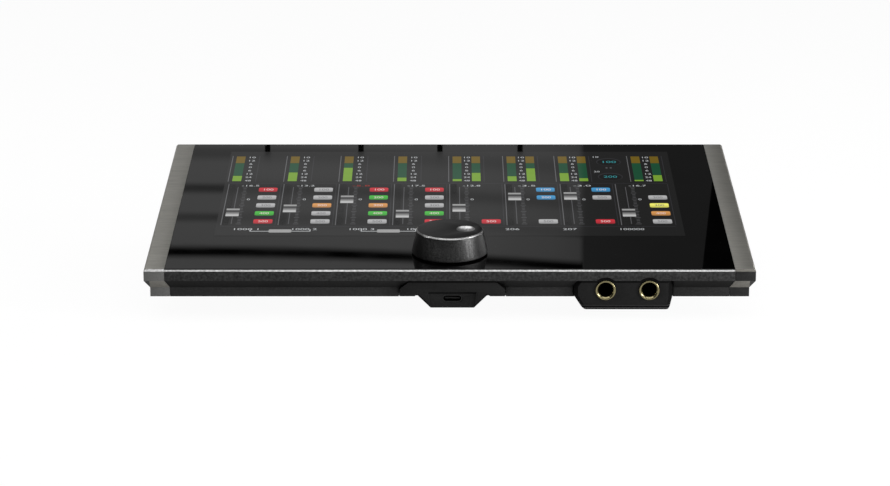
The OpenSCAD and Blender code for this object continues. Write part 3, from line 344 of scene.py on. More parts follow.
def edged(node_name, mats, body, width, pick=None, segments=2, cuts=(), rim=AS_BESIDE,
          foot=None):
    """A copy of a CAD node with its sharp edges broken, standing for that node.

    pick gets a face's middle and normal in the deck frame and gives its material's place.
    cuts are heights in the deck frame at which faces are parted. width and rim are for all sharp
    edges, and foot is a radius for the edges along the depth at the lowest height.
    """
    bm = node_mesh(node_name)
    bmesh.ops.dissolve_limit(bm, angle_limit=FLAT_ANGLE, verts=bm.verts, edges=bm.edges,
                             delimit={"NORMAL"})
    if foot:
        break_edges(bm, foot_edges(bm), foot, FOOT_STEPS, AS_BESIDE)
    for z in cuts:
        bmesh.ops.bisect_plane(bm, geom=bm.verts[:] + bm.edges[:] + bm.faces[:], dist=ON_CUT,
                               plane_co=DECK @ Vector((0, 0, z)), plane_no=TIP @ Vector((0, 0, 1)))
    for face in bm.faces:
        face.material_index = 0
        if pick:
            face.material_index = pick(TO_DECK @ face.calc_center_median(), UNTILT @ face.normal)
    sharp = [edge for edge in bm.edges
             if len(edge.link_faces) == 2 and edge.calc_face_angle() > BROKEN_ANGLE]
    break_edges(bm, sharp, width, segments, rim)
    make(node_name + "_edged", bm, mats, body, [node_name], smooth=True)


def add_slab(bm, outline, low, high, place=Matrix()):
    """A closed flat plate with a given outline, carried to a place."""
    under = [bm.verts.new(place @ Vector((x, y, low))) for x, y in outline]
    over = [bm.verts.new(place @ Vector((x, y, high))) for x, y in outline]
    bm.faces.new(under[::-1])
    bm.faces.new(over)
    for i in range(len(outline)):
        j = (i + 1) % len(outline)
        bm.faces.new((under[i], under[j], over[j], over[i]))


def rounded(x0, x1, y0, y1, r):
    """An outline of a rectangle with round corners."""
    points = []
    for cx, cy, start in ((x1 - r, y1 - r, 0), (x0 + r, y1 - r, 90),
                          (x0 + r, y0 + r, 180), (x1 - r, y0 + r, 270)):
        for k in range(CORNER_STEPS + 1):
            a = math.radians(start + 90 * k / CORNER_STEPS)
            points.append((cx + r * math.cos(a), cy + r * math.sin(a)))
    return points


def ellipse(x, y, rx, ry, steps=36):
    angles = [math.tau * k / steps for k in range(steps)]
    return [(x + rx * math.cos(a), y + ry * math.sin(a)) for a in angles]


def islands(bm):
    """The separate bodies of a mesh, each as its points."""
    loose = set(bm.verts)
    while loose:
        island, queue = [], [loose.pop()]
        while queue:
            vert = queue.pop()
            island.append(vert.co.copy())
            for other in [edge.other_vert(vert) for edge in vert.link_edges]:
                if other in loose:
                    loose.remove(other)
                    queue.append(other)
        yield island


def add_socket_shades(node_name, out):
    """Dark hexagon plates in the heads of a node's screws, which face out: painted shade for their
    recesses.
    """
    screws, socket_shades = node_mesh(node_name), bmesh.new()
    turn = out.to_track_quat("Z", "Y").to_matrix().to_4x4()
    for island in islands(screws):
        top = max(co.dot(out) for co in island)
        head = [co for co in island if top - co.dot(out) < ON_HEAD]
        middle = sum(head, Vector()) / len(head)
        hexagon = ellipse(0, 0, SOCKET_R, SOCKET_R, SOCKET_SIDES)
        add_slab(socket_shades, hexagon, -SOCKET_DEEP, SOCKET_PROUD,
                 Matrix.Translation(middle) @ turn @ Matrix.Scale(MM, 4))
    screws.free()
    make(node_name + "_sockets", socket_shades, [BORE_AND_SOCKET_SHADE], "chassis")


# Pieces with broken edges

# Share of a face's normal past which the face is level, faces a direction, slants or leans to it
LEVEL, FACES, SLANTS, LEANS = 0.9999, 0.9, 0.5, 0.3
# Heights in the deck frame: the top of a rail's bright edge, above which its chamfer takes painted
# shade, a height under its chamfer, and the top of its lower tier
EDGE_CUT, CHAMFER_LOW, LOWER_TIER = -0.28, -1.2, -8.0
# Heights at which the painted shade under the rail ends on a nose, and the painted shade in the pocket
# round the port, and how far back that pocket starts
NOSE_CUT, POCKET_CUT, POCKET_Y = -6.5, -12.0, 1.0
# Share of a normal past which a nose's slanted edge is on its underside
UNDERSIDE = 0.6
# Places of a nose's materials, in the order of its list
PLAIN, SHADED, HIGHLIT_RIM, HIGHLIT_LINE, SHADED_SLANT = range(5)
# For each nose: the radius of its lower corners, the material of its broken edges, a painted highlight
# on the USB nose, and the fine lines along its foot, painted highlights with painted shade between, as
# the material's place and a span of heights
NOSE_FOOT = {"usb": None, "phones": 1.2}
NOSE_RIM = {"usb": HIGHLIT_RIM, "phones": AS_BESIDE}
FOOT_PAINTED_LINES = {
    "usb": {},
    "phones": {HIGHLIT_LINE: (-17.7, -17.25), SHADED_SLANT: (-18.65, -17.7), HIGHLIT_RIM: (-19.1, -18.65)},
}
# The knob's place, the lower end and the slant of its rim, and its dimple
KNOB_Y = 25.0
RIM_LOW, RIM_SLANT = 10.7, 0.4
DIMPLE_X, DIMPLE_R, DIMPLE_LOW = 7.4, 4.4, 9.9


def cheek_face(at, normal):
    """The place of a cheek face's material; its front, bevels and underside take painted light and
    shade.
    """
    plain, front, lower_bevel, upper_bevel, underside = range(5)
    if normal.y < -FACES:
        return front
    if normal.z < -LEANS:
        return lower_bevel if normal.y < -LEANS else underside
    if normal.y < -SLANTS and normal.z > SLANTS:
        return upper_bevel
    return plain


def rail_face(at, normal):
    """The place of a rail face's material; painted shade is on its bevels, top and the top of its
    chamfer.
    """
    upper_tier, bright_edge, bevel, lower_tier = range(4)
    if normal.z > SLANTS and at.z > EDGE_CUT:
        return bevel
    if SLANTS < normal.z < FACES and at.z > CHAMFER_LOW:
        return bright_edge
    if normal.z < -LEANS and abs(normal.y) > LEANS:
        return bevel
    # The lower tier takes painted shade
    return lower_tier if at.z < LOWER_TIER else upper_tier


def nose_face(lines):
    """A function that gives the place of the material for a face of a nose: painted shade under the
    rail, in the pocket and on slanted edges, and the given painted lines.
    """
    def pick(at, normal):
        for place, (low, high) in lines.items():
            if normal.y < -LEANS and low < at.z < high:
                return place
        shaded = at.z > NOSE_CUT or (at.y > POCKET_Y and at.z > POCKET_CUT)
        slanting = -FACES < normal.y < -LEANS
        if slanting and normal.z < -UNDERSIDE:
            return SHADED_SLANT
        return SHADED if shaded or slanting else PLAIN
    return pick


def brass_face(at, normal):
    """The place of the material for a brass ring's face; its flat front takes painted shade."""
    ring, shaded_front = range(2)
    return shaded_front if normal.y < -FACES else ring


def knob_face(at, normal):
    """The place of the material for a face of the knob's cap."""
    side, top, rim, dimple = range(4)
    near_dimple = math.hypot(at.x - DIMPLE_X, at.y - KNOB_Y) < DIMPLE_R
    if near_dimple and at.z > DIMPLE_LOW and normal.z < LEVEL:
        return dimple
    if normal.z > FACES:
        return top
    if normal.z > RIM_SLANT and at.z > RIM_LOW:
        return rim
    return side


def build_edged():
    """The outer pieces, each with the width of its broken edges in millimetres."""
    # Left and right cheeks take painted light and shade on like faces: front and upper bevel
    for side, front, bevel in (("left", CHEEK_END_PAINTED, RAIL_EDGE), ("right", CHEEK_SHADE, CHEEK_BEVEL_SHADE)):
        edged(side + "_cheek", [CHEEK, front, CHEEK_BEVEL_SHADE, bevel, CHEEK_SHADE], "chassis",
              0.12, cheek_face)
        edged("phones_bushing_" + side, [BRASS, BRASS_LIP_SHADE], "chassis", 0.36, brass_face,
              segments=4, rim=0)
    for place in ("front", "rear"):
        edged(place + "_rail", [RAIL, RAIL_EDGE, RAIL_BEVEL_SHADE, RAIL_LOW_SHADE], "chassis",
              0.1, rail_face, cuts=[EDGE_CUT])
    for holder, lines in FOOT_PAINTED_LINES.items():
        heights = sorted({z for line in lines.values() for z in line})
        edged(holder + "_nose", [NOSE, NOSE_DARK, NOSE_EDGE_HIGHLIGHT, NOSE_LINE_HIGHLIGHT, NOSE_SLANT_SHADE], "chassis",
              0.15, nose_face(lines), cuts=[NOSE_CUT, POCKET_CUT] + heights,
              rim=NOSE_RIM[holder], foot=NOSE_FOOT[holder])
    for screw_node, out in (("rear_panel_screws", Vector((0, 1, 0))),
                            ("base_screws", TIP @ Vector((0, 0, -1)))):
        edged(screw_node, [STEEL], "chassis", 0.35, segments=3)
        add_socket_shades(screw_node, out)
    edged("rubber_feet", [FOOT], "chassis", 0.7, segments=3)
    edged("power_button", [BUTTON], "power_key", 0.5, segments=3)
    edged("knob_cap", [KNOB_SIDE, KNOB_TOP, KNOB_RIM, DIMPLE], "knob", 0.12, knob_face)


build_edged()


# Screen

# Heights of the lit plates over the glass: the page, and how far lines, fills and tops rise over it
SCREEN_LOW, SCREEN_TOP = -0.02, 0.05
LINE_LIFT, FILL_LIFT, TOP_LIFT = 0.01, 0.02, 0.03
# The page, its strips and the thin lines between them
PAGE = (-111.0, 111.0, 50.5, 190.5)
STRIP_X, STRIP_PITCH, STRIP_W = -108.8, 27.24, 25.8
LOWER_Y, UPPER_Y = (67.2, 134.0), (138.0, 182.8)
RULE_Y, RULE_HALF, RULE_SHORT = (65.0, 135.2), 0.3, 1.5
LINE_W = 0.4
# Meters, measured from the left side of their box; a box holds one bar or two
METER_XS = ((1.95, 6.4), (11.5, 15.85))
METER_Y, METER_HOT, METER_GAP = (139.0, 182.0), 170.0, 0.3
SEGMENT = 2.15
MARK_X, BOX_W = {1: 9.7, 2: 9.0}, {1: 13.6, 2: 17.6}
MARK_Y, MARK_H, DIGIT_W = (139.9, 180.3), 2.4, 1.5
# Faders, measured from the left side of their strip
PANEL_X, SLOT_X, TICK_X = (0.3, 3.5), 4.8, 8.3
FADER_Y = (69.0, 129.0)
TICKS, LONG_EVERY = 24, 4
TICK_HALF, LONG_HALF, TICK_HALF_H = 0.8, 1.3, 0.35
ZERO_X, ZERO_Y, ZERO_H = 10.9, 108.5, 2.6
CAP_X, CAP_L = (1.3, 7.6), 12.6
# Numbers over a fader and under a strip; a fader's number is 0 at UNITY_Y
GAIN_X, GAIN_Y, GAIN_W, GAIN_STEP = 10.8, 131.3, 8.6, 2
UNITY_Y = 120.0
NAME_Y, NAME_H = 60.8, 2.8
# Buttons, in rows from the foot of a strip
COLUMN = (15.2, 24.3)
ROW_FOOT, ROW_PITCH, ROW_H, ROW_R = 69.4, 12.9, 7.0, 1.2
LABEL_UP, LABEL_H, LABEL_W = 3.7, 3.0, 4.6
# Brackets that join two strips, with a small plate
LINKS = [(-94.6, -65.8), (-42.0, -15.8)]
LINK_HALF, LINK_Y, LINK_R = 5.4, (55.6, 60.4), 0.8
BRACKET_Y, BRACKET_W = (57.2, 57.9), 0.5
# Ovals with a number inside and a smaller one beside, and two dots between them
OVALS = [(80.3, 172.3), (80.1, 146.6)]
OVAL_R, OVAL_RIM, OVAL_SINK = (6.2, 6.6), (0.5, 0.8), 0.5
OVAL_H, OVAL_W = 3.4, 6.6
BESIDE, BESIDE_H, BESIDE_W = (-6.4, 8.8), 2.2, 2.8
DOTS_X, DOT_HALF, DOT_Y = (78.9, 81.0), 0.5, (160.9, 162.9)

# The glass's glare, which adds to every lit colour
GLARE = 0.03
LIT_BASE, LIT_ROUGH = 0.003, 0.03
LIT_GRAIN, LIT_DETAIL, LIT_DIM = 900.0, 1.0, 0.93


def without_glare(color):
    return tuple(max(c - GLARE, 0.0) for c in color[:3]) + (1.0,)


def lit(name, color):
    """A lit patch of the screen, under the same gloss as the glass."""
    mat, nodes, links, bsdf = shader(name)
    color = without_glare(color)
    fine = noise(nodes, links, LIT_GRAIN, LIT_DETAIL)
    links.new(ramp(nodes, links, fine, list(zip(GRAIN_SPAN, (scaled(color, LIT_DIM), color)))),
              bsdf.inputs["Emission Color"])
    bsdf.inputs["Base Color"].default_value = grey(LIT_BASE)
    bsdf.inputs["Emission Strength"].default_value = 1.0
    bsdf.inputs["Roughness"].default_value = LIT_ROUGH
    return mat


def lit_rows(name, color, foot, pitch, stops):
    """A lit patch whose brightness repeats in rows up the screen; stops are (share of a row, gain)."""
    mat = lit(name, color)
    nodes, links = mat.node_tree.nodes, mat.node_tree.links
    color = without_glare(color)
    coord = nodes.new("ShaderNodeTexCoord")
    along = nodes.new("ShaderNodeVectorMath")
    along.operation = "DOT_PRODUCT"
    along.inputs[1].default_value = (0.0, COS / MM / pitch, SIN / MM / pitch)
    links.new(coord.outputs["Object"], along.inputs[0])
    start = (DECK_Y * COS + DECK_Z * SIN + foot) / pitch
    row = maths(nodes, links, "FRACT", maths(nodes, links, "SUBTRACT", along.outputs["Value"], start))
    links.new(ramp(nodes, links, row, [(share, scaled(color, gain)) for share, gain in stops]),
              nodes["Principled BSDF"].inputs["Emission Color"])
    return mat


def lit_button(name, color):
    """A lit button: its colour grows lighter from the foot of each row towards its top."""
    full = ROW_H / ROW_PITCH
    return lit_rows(name, color, ROW_FOOT, ROW_PITCH,
                    [(0.0, 0.5), (0.25 * full, 0.8), (0.75 * full, 1.08), (full, 0.85)])


def lit_meter(name, color):
    """A lit bar of a meter, cut into fine segments."""
    return lit_rows(name, color, METER_Y[0], SEGMENT,
                    [(0.0, 0.72), (0.2, 1.0), (0.8, 1.0), (1.0, 0.72)])


# Colours of the lit shapes, in 0 to 255, by the way they are lit
LIT_COLORS = {
    lit_button: {
        "red": (196, 66, 74), "grey": (178, 178, 179), "green": (82, 180, 78),
        "orange": (210, 150, 92), "blue": (80, 150, 198), "yellow": (238, 234, 116),
    },
    lit_meter: {
        "meter_on": (124, 162, 66), "meter_off": (50, 86, 66), "meter_hot": (116, 98, 50),
    },
    lit: {
        "rule": (64, 64, 66), "line": (104, 104, 106), "tick": (92, 92, 94),
        "cap_light": (190, 190, 190), "cap_pale": (160, 160, 160), "cap_mid": (130, 130, 130),
        "cap_low": (104, 104, 104), "cap_dark": (66, 66, 67),
        "text": (188, 190, 192), "label": (222, 206, 204), "label_dark": (120, 120, 122),
        "warn": (150, 62, 58), "cyan": (70, 150, 156),
    },
}
# Dark areas of the page, as what they add to the glare
DARK_AREAS = {"page": 0.006, "panel": 0.022, "oval": 0.003}
LIT = {name: lit("lit_" + name, grey(GLARE + glow)) for name, glow in DARK_AREAS.items()}
for way, colors in LIT_COLORS.items():
    for color_name, levels in colors.items():
        LIT[color_name] = way("lit_" + color_name, srgb(*levels))

# For each strip: the left side of its meter box, the lit tops of its meters, its fader's height,
# and its button colours from the top row down
STRIPS = [
    dict(box=-109.6, tops=[148.0], cap=87.1, buttons=["red", "grey", "grey", "green", "red"]),
    dict(box=-82.1, tops=[153.8], cap=93.5, buttons=["grey", "grey", "orange", "grey", "grey"]),
    dict(box=-54.8, tops=[162.0], cap=108.4, buttons=["red", "green", "orange", "green", "grey"]),
    dict(box=-27.7, tops=[145.0], cap=84.9, buttons=["red", "grey", "grey", "green", "red"]),
    dict(box=-0.3, tops=[142.5, 153.2], cap=94.4, buttons=[None, None, None, None, "red"]),
    dict(box=27.0, tops=[147.2, 161.0], cap=113.0, buttons=["blue", "blue", None, None, "grey"]),
    dict(box=53.0, tops=[152.8, 144.0], cap=113.9, buttons=["blue", "grey", None, None, "red"]),
    dict(box=89.9, tops=[141.2, 149.2], cap=86.6,
         buttons=[None, "grey", "yellow", "orange", "grey"]),
]
WARNED_STRIP = 2
# The number under each strip, with its middle's distance from the strip's left side and its length
STRIP_NAMES = ([("1000 %d" % n, 12.5, 11.6) for n in (1, 2, 3, 4)]
               + [("20%d" % n, 2.4, 6.6) for n in (5, 6, 7)] + [("100000", 4.4, 11.2)])
SCALE_MARKS = ["10", "12", "6", "0", "6", "12", "24", "48"]
# Bands of a fader's cap, from its foot up
CAP_BANDS = (("cap_low", 0.0, 0.5), ("cap_light", 0.5, 3.2), ("cap_pale", 3.2, 4.6),
             ("cap_mid", 4.6, 6.0), ("cap_low", 6.0, 7.4), ("cap_dark", 7.4, 9.4),
             ("cap_low", 9.4, 10.3), ("cap_pale", 10.3, CAP_L))


class Screen:
    """Flat lit shapes on the glass, gathered by colour."""

    def __init__(self):
        self.sets = {}

    def plate(self, color, outline, lift=0.0):
        """A lit plate with a given outline; lift is its height over the page."""
        bm = self.sets.setdefault(color, bmesh.new())
        add_slab(bm, outline, SCREEN_LOW, SCREEN_TOP + lift)

    def rect(self, color, x0, x1, y0, y1, lift=0.0):
        self.plate(color, [(x0, y0), (x1, y0), (x1, y1), (x0, y1)], lift)

    def upright(self, color, x, span):
        """A thin line up the page."""
        self.rect(color, x - LINE_W / 2, x + LINE_W / 2, *span, LINE_LIFT)

    def number(self, color, words, x, y, height, width, lift=FILL_LIFT):
        """A plain number with its middle at x and y; width is its whole length."""
        curve = bpy.data.curves.new("number", "FONT")
        curve.body = words
        curve.align_x = "CENTER"
        curve.extrude = (SCREEN_TOP + lift - SCREEN_LOW) / 2
        obj = bpy.data.objects.new("number", curve)
        bpy.context.scene.collection.objects.link(obj)
        bpy.context.view_layer.update()
        mesh = bpy.data.meshes.new_from_object(obj)
        xs = [v.co.x for v in mesh.vertices]
        ys = [v.co.y for v in mesh.vertices]
        tall = height / (max(ys) - min(ys))
        wide = width / (max(xs) - min(xs))
        mesh.transform(Matrix.Translation((x, y - height / 2 - min(ys) * tall,
                                           (SCREEN_TOP + lift + SCREEN_LOW) / 2))
                       @ Matrix.Diagonal((wide, tall, 1.0, 1.0)))
        self.sets.setdefault(color, bmesh.new()).from_mesh(mesh)
        bpy.data.objects.remove(obj)
        bpy.data.curves.remove(curve)
        bpy.data.meshes.remove(mesh)

    def build(self):
        """Makes one piece of each colour's shapes."""
        pieces = []
        for color, bm in self.sets.items():
            bm.transform(DECK)
            pieces.append(make("screen_" + color, bm, [LIT[color]], "chassis"))
        return pieces


def draw_meters(screen, strip):
    """A box with one or two bars and a column of scale numbers."""
    box, tops = strip["box"], strip["tops"]
    low, high = METER_Y
    for (x0, x1), top in zip(METER_XS, tops):
        screen.rect("meter_on", box + x0, box + x1, low, top, FILL_LIFT)
        screen.rect("meter_off", box + x0, box + x1, top + METER_GAP, METER_HOT, FILL_LIFT)
        screen.rect("meter_hot", box + x0, box + x1, METER_HOT + METER_GAP, high, FILL_LIFT)
    for k, mark in enumerate(SCALE_MARKS):
        y = MARK_Y[1] + (MARK_Y[0] - MARK_Y[1]) * k / (len(SCALE_MARKS) - 1)
        screen.number("text", mark, box + MARK_X[len(tops)], y, MARK_H, DIGIT_W * len(mark))
    screen.upright("line", box, UPPER_Y)
    screen.upright("rule", box + BOX_W[len(tops)], UPPER_Y)


def draw_fader(screen, x, height):
    """A slot, its ticks, and a cap with light and dark bands."""
    screen.rect("panel", x + PANEL_X[0], x + PANEL_X[1], *LOWER_Y)
    screen.upright("line", x, LOWER_Y)
    screen.upright("rule", x + STRIP_W, LOWER_Y)
    screen.upright("tick", x + SLOT_X, FADER_Y)
    for k in range(TICKS + 1):
        y = FADER_Y[0] + (FADER_Y[1] - FADER_Y[0]) * k / TICKS
        half = TICK_HALF if k % LONG_EVERY else LONG_HALF
        screen.rect("tick", x + TICK_X - half, x + TICK_X + half, y - TICK_HALF_H, y + TICK_HALF_H,
                    LINE_LIFT)
    screen.number("text", "0", x + ZERO_X, ZERO_Y, ZERO_H, DIGIT_W)
    foot = height - CAP_L / 2
    for color, low, high in CAP_BANDS:
        screen.rect(color, x + CAP_X[0], x + CAP_X[1], foot + low, foot + high, TOP_LIFT)


def draw_buttons(screen, x, colors):
    """A column of buttons, of which the ones without a colour are left out."""
    x0, x1 = x + COLUMN[0], x + COLUMN[1]
    for k, color in enumerate(colors):
        if color:
            foot = ROW_FOOT + (len(colors) - 1 - k) * ROW_PITCH
            screen.plate(color, rounded(x0, x1, foot, foot + ROW_H, ROW_R), FILL_LIFT)
            label = "label_dark" if color in ("grey", "yellow") else "label"
            screen.number(label, "%d00" % (k + 1), (x0 + x1) / 2, foot + LABEL_UP, LABEL_H, LABEL_W,
                          TOP_LIFT)


def draw_links(screen):
    """Brackets with a small plate, which join two strips."""
    low, high = BRACKET_Y
    top = LINK_Y[1]
    for x0, x1 in LINKS:
        mid = (x0 + x1) / 2
        screen.rect("text", x0, mid - LINK_HALF, low, high, LINE_LIFT)
        screen.rect("text", mid + LINK_HALF, x1, low, high, LINE_LIFT)
        screen.rect("text", x0, x0 + BRACKET_W, high, top, LINE_LIFT)
        screen.rect("text", x1 - BRACKET_W, x1, high, top, LINE_LIFT)
        screen.plate("cap_pale", rounded(mid - LINK_HALF, mid + LINK_HALF, *LINK_Y, LINK_R), FILL_LIFT)


def draw_ovals(screen):
    """Two dark ovals with a rim and numbers, and two dots."""
    rx, ry = OVAL_R
    for k, (x, y) in enumerate(OVALS):
        screen.plate("rule", ellipse(x, y, rx, ry), LINE_LIFT)
        screen.plate("oval", ellipse(x, y - OVAL_SINK, rx - OVAL_RIM[0], ry - OVAL_RIM[1]), FILL_LIFT)
        screen.number("cyan", "%d00" % (k + 1), x, y, OVAL_H, OVAL_W, TOP_LIFT)
        screen.number("text", "%d0" % (k + 1), x + BESIDE[0], y + BESIDE[1], BESIDE_H, BESIDE_W)
    for x in DOTS_X:
        screen.rect("tick", x - DOT_HALF, x + DOT_HALF, *DOT_Y, LINE_LIFT)


def build_screen():
    """The mixer page; gives the screen's pieces."""
    screen = Screen()
    screen.rect("page", *PAGE)
    right = STRIP_X + len(STRIPS) * STRIP_PITCH - RULE_SHORT
    for y in RULE_Y:
        screen.rect("rule", STRIP_X, right, y - RULE_HALF, y + RULE_HALF, LINE_LIFT)
    for i, strip in enumerate(STRIPS):
        x = STRIP_X + i * STRIP_PITCH
        draw_meters(screen, strip)
        draw_fader(screen, x, strip["cap"])
        draw_buttons(screen, x, strip["buttons"])
        gain = "%.1f" % ((strip["cap"] - UNITY_Y) / GAIN_STEP)
        color = "warn" if i == WARNED_STRIP else "text"
        screen.number(color, gain, x + GAIN_X, GAIN_Y, MARK_H, GAIN_W)
        words, off, width = STRIP_NAMES[i]
        screen.number("text", words, x + off, NAME_Y, NAME_H, width)
    draw_links(screen)
    draw_ovals(screen)
    return screen.build()


screen_pieces = build_screen()


# Stage, light, camera

# Share of the floor's white that needs no light, and half its width in metres
FLOOR_WHITE, FLOOR_HALF = 0.95, 20.0
# What the lamps point at, in metres
DECK_MIDDLE, FRONT_MIDDLE = (0, 0, 0.02), (0, -0.07, 0.04)
# The room: its shade at the left and the right, how far across it changes, and where its rear starts
ROOM_SHADES, ROOM_SIDE, REAR_SPAN = (0.12, 0.25), 0.6, (0.5, 0.8)
# The room's rear, which the glass shows: its tone from left to right as (place across, shade), within
# a reach to each side, and dark bent beams across it as (height, half width, depth of shade)
REAR_REACH = 0.1
REAR_ACROSS = [
    (-0.013, 0.242), (0.014, 0.227), (0.022, 0.208), (0.031, 0.194), (0.0395, 0.160),
    (0.0403, 0.052), (0.063, 0.043),
]
BEAMS = [
    (0.4402, 0.0013, 1.0), (0.4312, 0.0010, 0.5), (0.4236, 0.0011, 0.65), (0.4142, 0.0016, 0.35),
]
BEAM_BEND, BEAM_MIDDLE, BEAM_SPAN = 0.0585, -0.3945, (-0.09, 0.0402)
# Shares of a beam's half width between which its edge fades
BEAM_FADE = (0.4, 1.6)
# Short posts between the beams, by their places across, up to a height
POSTS = (-0.0517, -0.0245, -0.0015, 0.0219)
POST_HALF, POST_TOP = 0.0008, 0.4214
# A dark wall on the right, with a leaning side
WALL_X, WALL_LEAN, WALL_LEVEL, WALL_SHADE = 0.0754, 0.123, 0.447, 0.002
# The camera's place in the deck frame, how far it looks down on the deck, and its lens
CAMERA_AT = (-2.156, -1484.6, 493.35)
CAMERA_PITCH = math.radians(17.935)
CAMERA_LENS, CAMERA_SENSOR = 138.52, 36.0
CAMERA_CLIP = (0.05, 60.0)


def area(name, place, target, size, power):
    """A rectangular lamp that points at a target."""
    lamp = bpy.data.lights.new(name, "AREA")
    lamp.shape = "RECTANGLE"
    lamp.size, lamp.size_y = size
    lamp.energy = power
    obj = bpy.data.objects.new(name, lamp)
    obj.location = place
    obj.rotation_euler = (Vector(target) - Vector(place)).to_track_quat("-Z", "Y").to_euler()
    bpy.context.scene.collection.objects.link(obj)
    return obj


def keep_off(lamp, objects):
    """Shields some objects from a lamp, as a flag on a stand does in a studio."""
    shielded = bpy.data.collections.new(lamp.name + "_flag")
    lamp.light_linking.receiver_collection = shielded
    for obj in objects:
        shielded.objects.link(obj)
    for member in shielded.collection_objects:
        member.light_linking.link_state = "EXCLUDE"


def build_beams(nodes, links, across, up):
    """How dark the beams make the room at a direction, from 0 to 1."""
    off = maths(nodes, links, "SUBTRACT", across, BEAM_MIDDLE)
    bend = maths(nodes, links, "MULTIPLY", maths(nodes, links, "MULTIPLY", off, off), BEAM_BEND)
    level = maths(nodes, links, "SUBTRACT", up, bend)
    dark = None
    for height, half, shade in BEAMS:
        away = maths(nodes, links, "ABSOLUTE", maths(nodes, links, "SUBTRACT", level, height))
        beam = ranged(nodes, links, away, shade, 0.0, BEAM_FADE[0] * half, BEAM_FADE[1] * half)
        dark = maths(nodes, links, "MAXIMUM", dark, beam) if dark else beam
    low = maths(nodes, links, "LESS_THAN", up, POST_TOP)
    for x in POSTS:
        post = within(nodes, links, across, x - POST_HALF, x + POST_HALF)
        dark = maths(nodes, links, "MAXIMUM", dark, maths(nodes, links, "MULTIPLY", post, low))
    return maths(nodes, links, "MULTIPLY", dark, within(nodes, links, across, *BEAM_SPAN))


def mixed(nodes, links, factor, first, second):
    """A blend of two colours, of which the second may be a plain colour."""
    node = nodes.new("ShaderNodeMix")
    node.data_type = "RGBA"
    links.new(factor, node.inputs["Factor"])
    links.new(first, node.inputs["A"])
    if isinstance(second, tuple):
        node.inputs["B"].default_value = second
    else:
        links.new(second, node.inputs["B"])
    return node.outputs["Result"]


def build_world():
    """A grey studio: behind the object it is lighter on the left and darker on the right."""
    world = bpy.data.worlds.new("studio")
    world.use_nodes = True
    bpy.context.scene.world = world
    nodes, links = world.node_tree.nodes, world.node_tree.links
    coord = nodes.new("ShaderNodeTexCoord")
    split = nodes.new("ShaderNodeSeparateXYZ")
    links.new(coord.outputs["Generated"], split.inputs["Vector"])
    across, behind, up = (split.outputs[axis] for axis in "XYZ")
    place = ranged(nodes, links, across, 0.0, 1.0, -REAR_REACH, REAR_REACH)
    backdrop = ramp(nodes, links, place, [((x + REAR_REACH) / (2 * REAR_REACH), grey(shade))
                                          for x, shade in REAR_ACROSS])
    beams = build_beams(nodes, links, across, up)
    backdrop = mixed(nodes, links, beams, backdrop, grey(0.0))
    over = maths(nodes, links, "SUBTRACT", up, WALL_LEVEL)
    lean = maths(nodes, links, "MULTIPLY", over, WALL_LEAN)
    wall = maths(nodes, links, "GREATER_THAN", maths(nodes, links, "ADD", across, lean), WALL_X)
    backdrop = mixed(nodes, links, wall, backdrop, grey(WALL_SHADE))
    side = ranged(nodes, links, across, 0.0, 1.0, -ROOM_SIDE, ROOM_SIDE)
    left, right = (grey(shade) for shade in ROOM_SHADES)
    room = ramp(nodes, links, side, [(0.0, left), (0.5, left), (1.0, right)])
    rear = ranged(nodes, links, behind, 0.0, 1.0, *REAR_SPAN)
    links.new(mixed(nodes, links, rear, room, backdrop), nodes["Background"].inputs["Color"])


def floor_finish():
    """Pale paper: seen directly or in a gloss it is near white, and it keeps the shadow."""
    mat = grained("floor_paper", grey(0.93), grey(0.96), (0.8, 0.9), grain=30.0)
    nodes, links = mat.node_tree.nodes, mat.node_tree.links
    path = nodes.new("ShaderNodeLightPath")
    seen = path.outputs["Is Camera Ray"]
    for ray in ("Is Glossy Ray", "Is Transmission Ray"):
        seen = maths(nodes, links, "MAXIMUM", seen, path.outputs[ray])
    share = maths(nodes, links, "MULTIPLY", seen, FLOOR_WHITE)
    mix = nodes.new("ShaderNodeMixShader")
    links.new(share, mix.inputs["Fac"])
    links.new(nodes["Principled BSDF"].outputs["BSDF"], mix.inputs[1])
    links.new(nodes.new("ShaderNodeEmission").outputs["Emission"], mix.inputs[2])
    links.new(mix.outputs["Shader"], nodes["Material Output"].inputs["Surface"])
    return mat


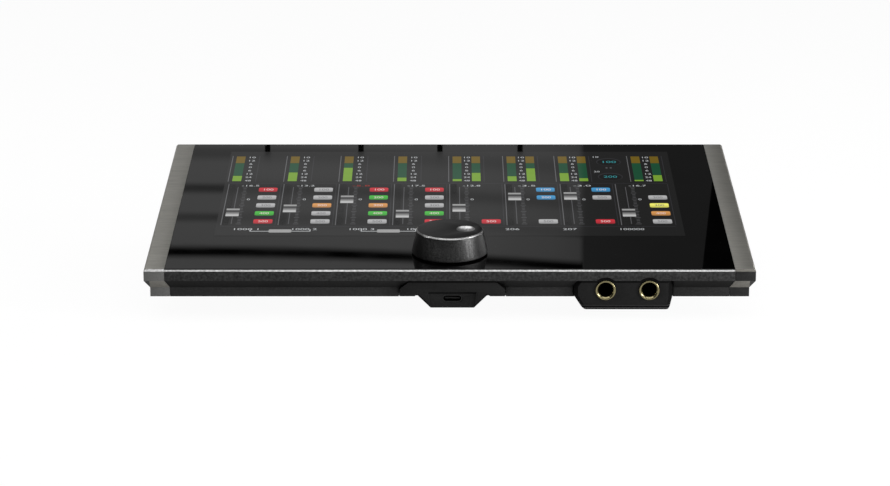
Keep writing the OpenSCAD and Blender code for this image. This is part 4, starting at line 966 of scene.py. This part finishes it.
def build_floor():
    """A wide plain sheet of pale paper."""
    bm = bmesh.new()
    bmesh.ops.create_grid(bm, x_segments=1, y_segments=1, size=FLOOR_HALF)
    mesh = bpy.data.meshes.new("floor")
    bm.to_mesh(mesh)
    bm.free()
    mesh.materials.append(floor_finish())
    floor = bpy.data.objects.new("floor", mesh)
    bpy.context.scene.collection.objects.link(floor)


def build_lamps(shiny):
    """Lamps as place, target, size in metres and power in watts; two are kept off shiny objects."""
    area("key", (0.0, -1.1, 1.6), DECK_MIDDLE, (2.5, 0.9), 14.5)
    area("top_left", (-0.6, 0.2, 1.8), DECK_MIDDLE, (0.9, 1.3), 9.0)
    area("top_right", (0.6, 0.2, 1.8), DECK_MIDDLE, (0.6, 1.3), 5.0)
    right = area("right", (1.04, -0.90, 0.48), FRONT_MIDDLE, (1.3, 0.4), 6.0)
    strip = area("strip", (1.258, -0.63, 0.24), FRONT_MIDDLE, (0.48, 0.45), 19.0)
    for low_lamp in (right, strip):
        keep_off(low_lamp, shiny)
    area("rim", (1.05, 0.68, 0.27), FRONT_MIDDLE, (0.14, 0.35), 2.0)
    area("side", (1.1, -0.15, 0.9), FRONT_MIDDLE, (0.3, 0.3), 4.0)
    area("left", (-1.2, -0.2, 0.9), FRONT_MIDDLE, (0.25, 0.25), 2.0)


def build_camera():
    """A long lens at the photograph's height, set in the deck frame and carried to the row frame."""
    cam = bpy.data.cameras.new("camera")
    cam.sensor_fit = "HORIZONTAL"
    cam.sensor_width = CAMERA_SENSOR
    cam.lens = CAMERA_LENS
    cam.clip_start, cam.clip_end = CAMERA_CLIP
    obj = bpy.data.objects.new("camera", cam)
    obj.location = DECK @ Vector(CAMERA_AT)
    obj.rotation_euler = (math.pi / 2 - (CAMERA_PITCH - TILT), 0, 0)
    bpy.context.scene.collection.objects.link(obj)
    bpy.context.scene.camera = obj


build_world()
build_floor()
build_lamps([NODES["cover_glass"]] + screen_pieces)
build_camera()
bpy.context.scene.view_settings.view_transform = "Standard"
